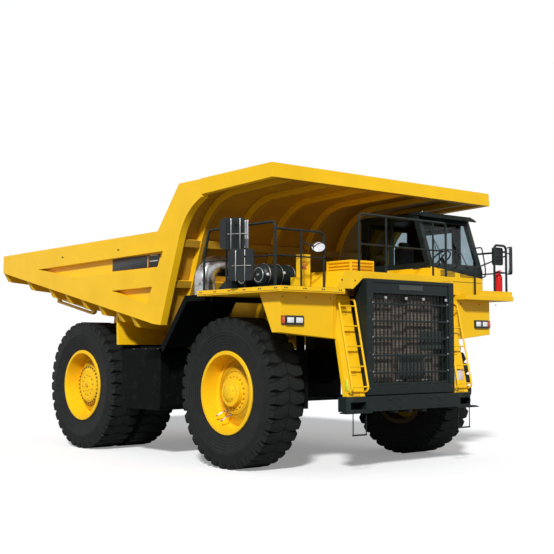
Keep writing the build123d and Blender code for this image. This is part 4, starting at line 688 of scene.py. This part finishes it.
# ---------------------------------------------------------------- nose
def grille_fittings():
    """Core fins and tubes, fine guard wires, blank plates, brackets, hinge blocks and bolts."""
    first_fin, fin_step, mesh_step = -0.935, 0.036, 0.0465
    core, guard = 4.897, 4.905
    fins = raw_slab("core_fin", (4.896, first_fin, 1.530), (4.912, first_fin + 0.013, 2.970))
    stacks = []
    for low, high in ((first_fin, -0.340), (0.030, 0.690)):
        count = int((high - low) / fin_step)
        stacks += moved(*[(0, low - first_fin + fin_step * i, 0) for i in range(count)])
    give(spread(fins, "radiator_fins", stacks), FINISH["core_grey"], "core_grey")
    tubes = merged("core_tube", [raw_slab("core_tube", (core, low, 1.55), (4.912, high, 1.556))
                                 for low, high in ((-0.94, -0.335), (0.025, 0.695))])
    give(spread(tubes, "radiator_tubes", row(13, z=0.11)), FINISH["core_grey"], "core_grey")
    across = raw_slab("guard_wire", (4.9985, -0.972, 1.470), (5.0015, 0.972, 1.4735))
    across = spread(across, "guard_wires_across", row(34, z=mesh_step))
    upright = raw_slab("guard_wire", (4.9945, -0.950, 1.455), (4.9975, -0.9475, 3.045))
    upright = spread(upright, "guard_wires_upright", row(41, y=mesh_step))
    green_trim(across)
    green_trim(upright)
    plates = [press(slab("core_plate", (guard, *low), (4.930, *high), 0.006), 0.035, 0.010)
              for low, high in (((0.34, 2.055), (0.96, 2.384)), ((-0.19, 1.546), (0.41, 1.96)))]
    give(merged("core_plates", plates), PLATE_GREY, "dark_paint")
    brackets = []
    for y in (-0.235, 0.420):
        brackets.append(slab("core_bracket", (guard, y, 1.500), (4.940, y + 0.028, 2.010), 0.004))
        brackets.append(slab("core_bracket", (guard, y - 0.06, 1.500), (4.940, y + 0.088, 1.530), 0.004))
    steel(merged("core_brackets", brackets))
    hinges = slab("bar_hinge", (5.026, -0.03, 2.905), (5.044, 0.03, 2.955), 0.004)
    hinges = spread(hinges, "grille_hinges", moved(*[(0, y, 0) for y in (-0.645, -0.136, 0.308, 0.905)]))
    steel(hinges)
    places = [(0, y, z) for z in (2.847, 2.555, 2.263, 1.971, 1.679) for y in (-0.955, 0.955)]
    bolts = bolt_set("grille_bar_bolts", (5.030, 0, 0), 0.013, 0.012, FORWARD, places)
    steel(bolts)
    places = [(0, y, 1.40 + 0.30 * i) for y in (-1.04, 1.04) for i in range(6)]
    bolts = bolt_set("grille_frame_bolts", (5.048, 0, 0), 0.012, 0.008, FORWARD, places)
    give(bolts, PLATE_GREY, "dark_paint")
    name_plate = slab("blank_name_plate", (5.029, -0.30, 3.075), (5.036, 0.30, 3.165), 0.004)
    give(press(name_plate, 0.012, 0.003), PLATE_GREY, "dark_paint")


def bumper_fittings():
    """Bolts, step teeth and under brackets on the bumper."""
    places = [(0, side * y, z) for side in (-1, 1) for y in (0.38, 0.62) for z in (1.09, 1.22)]
    bolts = bolt_set("bumper_bolts", (5.108, 0, 0), 0.020, 0.018, FORWARD, places)
    green_trim(bolts)
    teeth = raw_slab("step_tooth", (5.0, -1.640, 1.028), (5.006, -1.100, 1.040))
    teeth = spread(teeth, "step_teeth", moved(*[(0.022 * i, y, 0) for y in (0, 2.74) for i in range(6)]))
    green_trim(teeth)
    brackets = [slab("under_bracket", (4.90, y - 0.05, 0.975), (5.02, y + 0.05, 1.034), 0.006)
                for y in (-0.38, -0.03, 0.34)]
    give(merged("bumper_brackets", brackets), FINISH["axle_black"], "axle_black")


# ---------------------------------------------------------------- decks
def deck_fittings():
    """Tread plates, and the joint line and bolt pairs along the deck edges."""
    top, bolt_z, half_pair = 3.060, 3.028, 0.022
    treads = [slab("deck_tread", (*low, top), (*high, top + 0.004), 0.001)
              for low, high in (((2.76, -2.91), (4.955, -1.76)), ((4.78, 1.56), (4.955, 2.90)),
                                ((2.76, 2.36), (4.72, 2.90)))]
    give(merged("deck_treads", treads), NON_SLIP, "dark_paint")
    lines = [slab("edge_line", (*low, 2.988), (*high, 2.994), 0.001)
             for low, high in (((4.9695, -2.90), (4.9735, -1.56)), ((2.76, -2.9335), (4.93, -2.9295)),
                               ((4.9695, 1.56), (4.9735, 2.90)))]
    black_trim(merged("deck_edge_lines", lines))
    places = [(0, y + shift, 0) for y in (-2.82, -2.42, -2.02, -1.64, 1.64, 2.02, 2.42, 2.82)
              for shift in (-half_pair, half_pair)]
    bolts = bolt_set("deck_front_bolts", (4.968, 0, bolt_z), 0.010, 0.010, FORWARD, places)
    black_trim(bolts)
    places = [(start + 0.40 * i, 0, 0) for i in range(6) for start in (2.83, 2.83 + 2 * half_pair)]
    bolts = bolt_set("deck_side_bolts", (0, -2.928, bolt_z), 0.010, 0.010, RIGHTWARD, places)
    both_sides(bolts, STRIPE_BLACK, "dark_paint")


def lamp_fittings():
    """Lens pairs in bezels, amber markers, and the seam and screws of each lamp box."""
    for side, centre, marker in (("right", -2.465, (-2.728, -2.672)), ("left", 2.230, (2.437, 2.493))):
        bezels, lenses, ribs = [], [], []
        for y in (centre - 0.095, centre + 0.095):
            lenses.append(slab("lamp_lens", (4.7805, y - 0.070, 2.482), (4.791, y + 0.070, 2.570), 0.010))
            bezel = slab("lamp_bezel", (4.780, y - 0.084, 2.466), (4.792, y + 0.084, 2.586), 0.008)
            bezels.append(press(bezel, 0.014, 0.010))
            for i in range(5):
                rib = y - 0.052 + 0.026 * i
                ribs.append(raw_slab("lens_rib", (4.786, rib - 0.001, 2.488), (4.7885, rib + 0.001, 2.564)))
        give(merged("lamp_bezels_" + side, bezels), FINISH["lamp_lens"], "lamp_lens")
        give(merged("lamp_lenses_" + side, lenses + ribs), LAMP_WHITE, "lamp_lens")
        amber = slab("marker_" + side, (4.770, marker[0], 2.470), (4.782, marker[1], 2.580), 0.006)
        give(amber, LAMP_AMBER, "lamp_lens")
    seam = slab("lamp_box_seam", (4.7495, -1.585, 2.24), (4.7525, -1.579, 2.955), 0.001)
    shaded_seam(flipped(seam, "lamp_box_seam_left"))
    shaded_seam(seam)
    places = [(0, y, 2.90) for y in (-2.70, -2.20, -1.66)]
    screws = bolt_set("lamp_box_screws", (4.749, 0, 0), 0.009, 0.008, FORWARD, places)
    both_sides(screws, STRIPE_BLACK, "dark_paint")


LADDER_SLOPE = 0.22
LADDER_TOP_X, LADDER_TOP_Z = 4.654, 2.9


def on_ladder(height):
    """How far forward the ladder's outer face stands at a height."""
    return LADDER_TOP_X + (LADDER_TOP_Z - height) * LADDER_SLOPE


def ladder_fittings():
    """Rows of holes in the ladders' backing between the rungs, and the pale blank plate."""
    rung_step, hole_step = 0.335, 0.030
    dots = []
    for i in range(5):
        z = 2.78 - rung_step * i - 0.115
        for line in range(3):
            rise = hole_step * line - hole_step
            dots += [(on_ladder(z) - LADDER_SLOPE * rise, -1.400 + hole_step * column, z + rise)
                     for column in range(6)]
    top = 1.68
    patch = slab("pale_patch", (on_ladder(top) - 0.002, 1.17, 1.50), (on_ladder(top) + 0.004, 1.47, top))
    for corner in patch.data.vertices:
        corner.co.x += LADDER_SLOPE * (top - corner.co.z)
    give(patch, PALE_PLATE, "yellow_paint")
    dot = barrel("hole", (-0.004, 0, 0), (0.004, 0, 0), 0.009, 8)
    both_sides(spread(dot, "ladder_holes", moved(*dots)), SEAM_SHADE, "yellow_paint")


# ---------------------------------------------------------------- cab
def window_frame(name, low, high, across, width, lean=0.0):
    """Rubber gasket of four bars round a window that spans an axis and up, leaning back by a slope."""
    low, high = Vector(low), Vector(high)
    bars = []
    for axis, end in ((across, 0), (across, 1), (2, 0), (2, 1)):
        first, last = low.copy(), high.copy()
        if end:
            first[axis] = high[axis] - width
        else:
            last[axis] = low[axis] + width
        bars.append(raw_slab(name, first, last))
    piece = merged(name, bars)
    for corner in piece.data.vertices:
        corner.co.x -= lean * (corner.co.z - low.z)
    return soften(piece, 0.0042)


def cab_fittings():
    """Window gaskets, wipers, grab loops, cowl seam and vents, door pull and roof bolts on the cab."""
    slope = 4.750 - 4.420
    gasket = window_frame("windscreen_gasket", (4.697, 0.925, 3.600), (4.709, 2.235, 4.455), 1, 0.035, slope)
    gasket_black(gasket)
    wipers = []
    for y in (1.28, 1.88):
        foot = Vector((4.742, y, 3.585))
        tip = Vector((4.742 - slope * 0.50, y - 0.16, 4.085))
        half_blade = Vector((-slope, 0.10, 1)).normalized() * 0.26
        wipers.append(barrel("wiper_hub", foot - FORWARD * 0.015, foot + FORWARD * 0.020, 0.022, 12, 0.004))
        wipers.append(tube("wiper_arm", [foot, foot.lerp(tip, 0.5) + FORWARD * 0.018, tip], 0.008))
        wipers.append(barrel("wiper_blade", tip - half_blade, tip + half_blade, 0.007, 8, 0.002))
    gasket_black(merged("windscreen_wipers", wipers))
    cowl, rail, side = 4.745, 4.815, 2.335
    loops = [tube("grab", [(cowl, 1.0, 3.56), (4.80, 1.0, 3.56), (rail, 1.0, 3.62), (rail, 1.0, 3.83),
                           (rail, 1.03, 3.87), (rail, 1.24, 3.885), (rail, 1.46, 3.87), (rail, 1.50, 3.83),
                           (rail, 1.50, 3.62), (4.80, 1.50, 3.56), (cowl, 1.50, 3.56)], 0.012),
             tube("corner_grab", [(4.70, side - 0.03, 3.42), (4.78, side, 3.42), (4.80, side, 3.45),
                                  (4.80, side, 3.60), (4.74, side, 3.90), (4.72, side, 3.98),
                                  (4.68, side - 0.01, 4.00), (4.58, side - 0.06, 3.98)], 0.013)]
    green_trim(merged("cab_front_rail", loops))
    seam = slab("cab_cowl_seam", (4.748, 0.90, 3.300), (4.754, 2.27, 3.308), 0.001)
    vents = raw_slab("cowl_vent", (4.746, 1.10, 3.40), (4.758, 1.50, 3.408))
    vents = spread(vents, "cab_cowl_vents", moved(*[(0, y, 0.024 * i) for y in (0, 0.55) for i in range(5)]))
    gasket_black(seam)
    gasket_black(vents)
    pull_x = 4.02
    handle = tube("door_pull", [(pull_x, y, z) for y, z in (
        (2.306, 3.40), (2.345, 3.40), (2.352, 3.42), (2.352, 3.58), (2.345, 3.60), (2.306, 3.60))], 0.010)
    lock = barrel("door_lock", (pull_x, 2.309, 3.33), (pull_x, 2.325, 3.33), 0.022, 16, 0.003)
    steel(merged("cab_door_pull", [handle, lock]), body="cab_door")
    gasket = window_frame("door_window_gasket", (3.262, 2.2895, 3.672), (4.048, 2.314, 4.358), 0, 0.030)
    gasket_black(gasket, body="cab_door")
    places = [(x, y, 0) for x in (3.0, 3.5, 4.0, 4.5) for y in (0.90, 2.26)]
    bolts = bolt_set("roof_bolts", (0, 0, 4.588), 0.012, 0.010, UPWARD, places)
    steel(bolts)


def padded_block(name, low, high, swell):
    """Cushion grown from a block: cloth blown up by pressure, then smoothed."""
    piece = slab(name, low, high, 0.035)
    pick(piece)
    remesh = piece.modifiers.new("skin", "REMESH")
    remesh.mode = "VOXEL"
    remesh.voxel_size = 0.014
    bpy.ops.object.modifier_apply(modifier="skin")
    before = [corner.co.copy() for corner in piece.data.vertices]
    cloth = piece.modifiers.new("cloth", "CLOTH")
    cloth.settings.use_pressure = True
    cloth.settings.uniform_pressure_force = 4
    cloth.settings.effector_weights.gravity = 0
    scene = bpy.context.scene
    for step in range(1, 16):
        scene.frame_set(step)
    pick(piece)
    bpy.ops.object.modifier_apply(modifier="cloth")
    scene.frame_set(1)
    for corner, old in zip(piece.data.vertices, before):
        shift = corner.co - old
        if shift.length > swell:
            corner.co = old + shift.normalized() * swell
    pick(piece)
    smooth = piece.modifiers.new("smooth", "SUBSURF")
    smooth.levels = smooth.render_levels = 1
    bpy.ops.object.modifier_apply(modifier="smooth")
    bpy.ops.object.shade_smooth()
    return piece


def driver_seat():
    """Seat cushion, back and head pad, with piping round the cushion, on a ribbed pedestal."""
    floor = corners("cab_seat")[0].z
    cushion = padded_block("seat_cushion", (3.435, 1.345, 3.465), (3.905, 1.815, 3.565), 0.012)
    back = padded_block("seat_back", (3.345, 1.345, 3.585), (3.475, 1.815, 4.020), 0.012)
    head = padded_block("seat_head_pad", (3.350, 1.455, 4.035), (3.465, 1.705, 4.138), 0.010)
    soft = merged("driver_seat_pads", [cushion, back, head])
    give(soft, FINISH["seat_cloth"], "seat_cloth")
    piping = tube("seat_piping", [(x, y, 3.515) for x, y in (
        (3.44, 1.36), (3.46, 1.338), (3.88, 1.338), (3.908, 1.35), (3.912, 1.58), (3.908, 1.81),
        (3.88, 1.822), (3.46, 1.822), (3.44, 1.80))], 0.005, 1)
    give(piping, BLACK_RUBBER, "seat_cloth")
    post = [slab("seat_base", (3.47, 1.42, floor), (3.84, 1.74, floor + 0.05), 0.01)]
    for z in [3.14 + 0.060 * i for i in range(5)]:
        post.append(slab("bellows", (3.51, 1.455, z), (3.80, 1.705, z + 0.045), 0.014))
    post.append(slab("seat_core", (3.53, 1.475, 3.10), (3.78, 1.685, 3.455), 0.01))
    post.append(slab("back_plate", (3.333, 1.40, 3.50), (3.350, 1.76, 4.05), 0.006))
    give(merged("seat_pedestal", post), FINISH["dark_plastic"], "dark_plastic")
    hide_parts("cab_seat")


# ---------------------------------------------------------------- deck fittings
def head_middle(belongs):
    """Middle of the mirror head whose corners pass a test."""
    spots = [corner.co for corner in NODES["mirrors"].data.vertices if belongs(corner.co)]
    return Vector([(min(s[axis] for s in spots) + max(s[axis] for s in spots)) / 2 for axis in range(3)])


def pane(name, centre, way, half_width, half_height):
    """Thin mirror glass that faces one way."""
    fresh()
    bpy.ops.mesh.primitive_cube_add(size=1, location=centre, rotation=(0, 0, math.atan2(way.y, way.x)))
    bpy.context.object.scale = (0.006, half_width * 2, half_height * 2)
    return soften(settled(name), 0.002)


def upright_bar(name, middle, half, radius, sides, edge=0.0):
    """Upright round bar about its middle."""
    return barrel(name, middle - UPWARD * half, middle + UPWARD * half, radius, sides, edge)


def mirror_fittings():
    """Glass, backing ribs and clamp rods on the mirrors, and the round convex one."""
    glasses, ribs, rods = [], [], []
    turn = math.radians(30)
    way = Vector((math.sin(turn), -math.cos(turn), 0))
    along = Vector((math.cos(turn), math.sin(turn), 0))
    for low, high in ((3.66, 4.3), (3.0, 3.66)):
        middle = head_middle(lambda spot: spot.y < -2.75 and low < spot.z < high)
        for i in range(9):
            spot = middle + along * (-0.18 + 0.045 * i) + way * 0.032
            ribs.append(upright_bar("mirror_rib", spot, 0.235, 0.006, 6))
        for offset in (-0.09, 0.07):
            spot = middle + along * offset + way * 0.044
            rods.append(upright_bar("mirror_rod", spot, 0.255, 0.007, 10, 0.002))
        spot = middle + way * 0.052
        rods.append(barrel("mirror_rod", spot - along * 0.155, spot + along * 0.19, 0.006, 10, 0.002))
        glasses.append(pane("right_glass", middle - way * 0.030, -way, 0.19, 0.23))
    middle = head_middle(lambda spot: spot.y > 2.95)
    turn = math.radians(140)
    way = Vector((-math.sin(turn), math.cos(turn), 0))
    glasses.append(pane("left_glass", middle + way * 0.030, way, 0.095, 0.245))
    give(merged("mirror_glasses", glasses), MIRROR_GLASS, "bright_steel")
    give(merged("mirror_ribs", ribs), FINISH["dark_paint"], "dark_plastic")
    steel(merged("mirror_rods", rods))
    centre = (4.72, -1.902, 3.744)
    tilt, swing = math.radians(-35), math.radians(-38)
    fresh()
    bpy.ops.mesh.primitive_uv_sphere_add(segments=40, ring_count=20, radius=0.115, location=centre,
                                         rotation=(0, tilt, swing))
    bpy.context.object.scale = (0.25, 1, 1)
    give(soften(settled("convex_mirror"), 0), MIRROR_GLASS, "bright_steel")
    facing = Matrix.Rotation(swing, 3, "Z") @ Matrix.Rotation(tilt, 3, "Y") @ FORWARD
    rim = ring("convex_rim", centre, facing, 0.112, 0.008, 40, 8)
    arm = tube("convex_arm", [(4.735, -2.280, 3.80), (4.730, -2.18, 3.79), (4.700, -2.05, 3.76),
                              (4.690, -1.902, 3.744)], 0.013, 3)
    gasket_black(merged("convex_mirror_arm", [rim, arm]))


def cleaner_fittings():
    """Clamp bands, end rings, wing nuts and gauges on the air cleaners."""
    height = 3.30
    bands, dots = [], []
    for x in (3.450, 3.900):
        for y in (-2.40, -2.12, -1.86):
            bands.append(ring("clamp", (x, y, height), (0, 1, 0), 0.1915, 0.006, 40))
        bands.append(ring("end_ring", (x, -2.502, height), (0, 1, 0), 0.120, 0.008, 40))
        dots.append(barrel("wing_nut", (x, -2.50, height), (x, -2.535, height), 0.022, 8, 0.004))
    steel(merged("cleaner_bands", bands))
    for spot in (Vector((4.088, -2.465, 3.298)), Vector((4.088, -2.107, 3.338))):
        dots.append(barrel("gauge", spot, spot + FORWARD * 0.022, 0.026, 16, 0.005))
    give(merged("cleaner_gauges", dots), LAMP_WHITE, "lamp_lens")


def cabinet_fittings():
    """Latch, grip and lid seam on the deck cabinet."""
    low, high = corners("deck_cabinet")
    front, middle, grip_z = high.x, (low.y + high.y) / 2, high.z - 0.14
    latch = slab("cabinet_latch", (front - 0.001, middle - 0.045, high.z - 0.24),
                 (front + 0.022, middle + 0.045, high.z - 0.19), 0.005)
    grip = tube("cabinet_grip", [(front + out, middle + side, grip_z) for out, side in (
        (0, -0.06), (0.04, -0.055), (0.045, 0), (0.04, 0.055), (0, 0.06))], 0.008)
    give(merged("cabinet_latch", [latch, grip]), LAMP_AMBER, "red_paint")
    seam = slab("cabinet_seam", (front - 0.002, low.y + 0.03, high.z - 0.075),
                (front + 0.002, high.y - 0.03, high.z - 0.069), 0.001)
    shaded_seam(seam)


def hood_fittings():
    """Bolts and marks on the nose panels, ledge slot, ladder reflector, hood latches and seams."""
    bolts = bolt_set("nose_panel_bolts", (4.969, 0, 0), 0.012, 0.010, FORWARD,
                     [(0, y, 3.20) for y in (1.00, 1.16, -1.30, -1.60)])
    black_trim(bolts)
    marks = raw_slab("panel_mark", (4.9695, 0.90, 3.27), (4.9715, 0.94, 3.276))
    black_trim(spread(marks, "nose_panel_marks", row(4, y=0.06)))
    slot = slab("ledge_slot", (4.38, 0.776, 3.515), (4.52, 0.7815, 3.545), 0.001)
    black_trim(slot)
    strip = leaning_plate("ladder_reflector", (4.960, -1.537, 1.38), (5.055, -1.529, 1.57), -0.040, 0.001)
    give(strip, REFLECTOR, "lamp_lens")
    latches = [slab("hood_latch", (x - 0.05, -1.30, 3.364), (x + 0.05, -1.22, 3.380), 0.004)
               for x in (3.2, 3.9, 4.6)]
    black_trim(merged("hood_latches", latches))
    seams = [slab("hood_seam", (2.80, y, 3.3645), (4.93, y + 0.006, 3.3675), 0.0008) for y in (-0.95, 0.55)]
    shaded_seam(merged("hood_seams", seams))


def tank_cap(name, x, y, top, proud, radius, sides, edge):
    """Filler cap that stands on a tank's top."""
    return barrel(name, (x, y, top - 0.01), (x, y, top + proud), radius, sides, edge)


def tank_fittings():
    """Straps over the fuel tank and caps on both tanks."""
    low, high = corners("fuel_tank")
    straps = [slab("tank_strap", (x - 0.03, low.y + 0.10, high.z - 0.004),
                   (x + 0.03, high.y - 0.40, high.z + 0.004), 0.001) for x in (-0.10, 0.325, 0.75)]
    steel(merged("fuel_tank_straps", straps))
    cap = tank_cap("fuel_tank_cap", 0.62, low.y + 0.35, high.z, 0.06, 0.075, 12, 0.01)
    steel(cap)
    high = corners("oil_tank")[1]
    caps = [tank_cap("oil_cap", x, high.y - 0.30, high.z, 0.05, 0.055, 10, 0.008) for x in (0.1, 0.5)]
    steel(merged("oil_tank_caps", caps))


# ---------------------------------------------------------------- studio
def add_floor():
    """Pale ground that shows plain white to the camera but keeps a soft shadow."""
    bpy.ops.mesh.primitive_plane_add(size=400, location=(0, 0, -0.002))
    floor = bpy.context.object
    floor.name = "studio_floor"
    material, tree, shader = surface("studio_floor", (0.82, 0.82, 0.82), 0.9, Specular_IOR_Level=0.0)
    seen = node(tree, "LightPath", -600).outputs["Is Camera Ray"]
    colour_with(tree, shader, mix_colour(tree, seen, (0.36, 0.36, 0.36), (0.92, 0.92, 0.92)))
    shader.inputs["Emission Color"].default_value = (*WHITE, 1)
    tree.links.new(times(tree, seen, 0.25), shader.inputs["Emission Strength"])
    floor.data.materials.append(material)


def add_lights():
    """Soft pale world that shows plain white behind the truck and in its glass, and a key sun."""
    world = bpy.data.worlds.new("studio")
    bpy.context.scene.world = world
    world.use_nodes = True
    tree = world.node_tree
    soft = tree.nodes["Background"]
    soft.inputs["Color"].default_value = (0.92, 0.95, 1.0, 1)
    soft.inputs["Strength"].default_value = 0.30
    white = node(tree, "Background", 0, -200, Strength=1.0)
    white.inputs["Color"].default_value = (*WHITE, 1)
    rays = node(tree, "LightPath", -400).outputs
    seen = larger(tree, rays["Is Camera Ray"], rays["Is Transmission Ray"])
    seen = larger(tree, seen, rays["Is Glossy Ray"])
    mix = node(tree, "MixShader", 100)
    for socket, source in zip(mix.inputs, (seen, soft.outputs[0], white.outputs[0])):
        tree.links.new(source, socket)
    tree.links.new(mix.outputs[0], tree.nodes["World Output"].inputs["Surface"])
    bpy.ops.object.light_add(type="SUN", location=(6, -14, 18))
    sun = bpy.context.object
    sun.name = "key_sun"
    sun.data.energy = 3.5
    sun.data.angle = math.radians(6)
    sun.rotation_euler = Vector((-0.90, 0.95, -0.82)).to_track_quat("-Z", "Y").to_euler()


def add_camera():
    """Low three-quarter view on the truck's right front corner."""
    data = bpy.data.cameras.new("view")
    data.sensor_width = 36
    data.lens = 67.63
    data.clip_end = 500
    camera = bpy.data.objects.new("view", data)
    bpy.context.scene.collection.objects.link(camera)
    camera.location = (17.338, -13.448, 2.099)
    heading, pitch = math.radians(139.815), math.radians(3.838)
    level = math.cos(pitch)
    ahead = Vector((math.cos(heading) * level, math.sin(heading) * level, math.sin(pitch)))
    camera.rotation_euler = ahead.to_track_quat("-Z", "Y").to_euler()
    bpy.context.scene.camera = camera


dress_nodes()
front_wheel_fittings()
rear_wheel_fittings()
body_side_trim()
grille_fittings()
bumper_fittings()
deck_fittings()
lamp_fittings()
ladder_fittings()
cab_fittings()
driver_seat()
mirror_fittings()
cleaner_fittings()
cabinet_fittings()
hood_fittings()
tank_fittings()
fresh()
add_floor()
add_lights()
add_camera()
bpy.context.scene.view_settings.view_transform = "Standard"
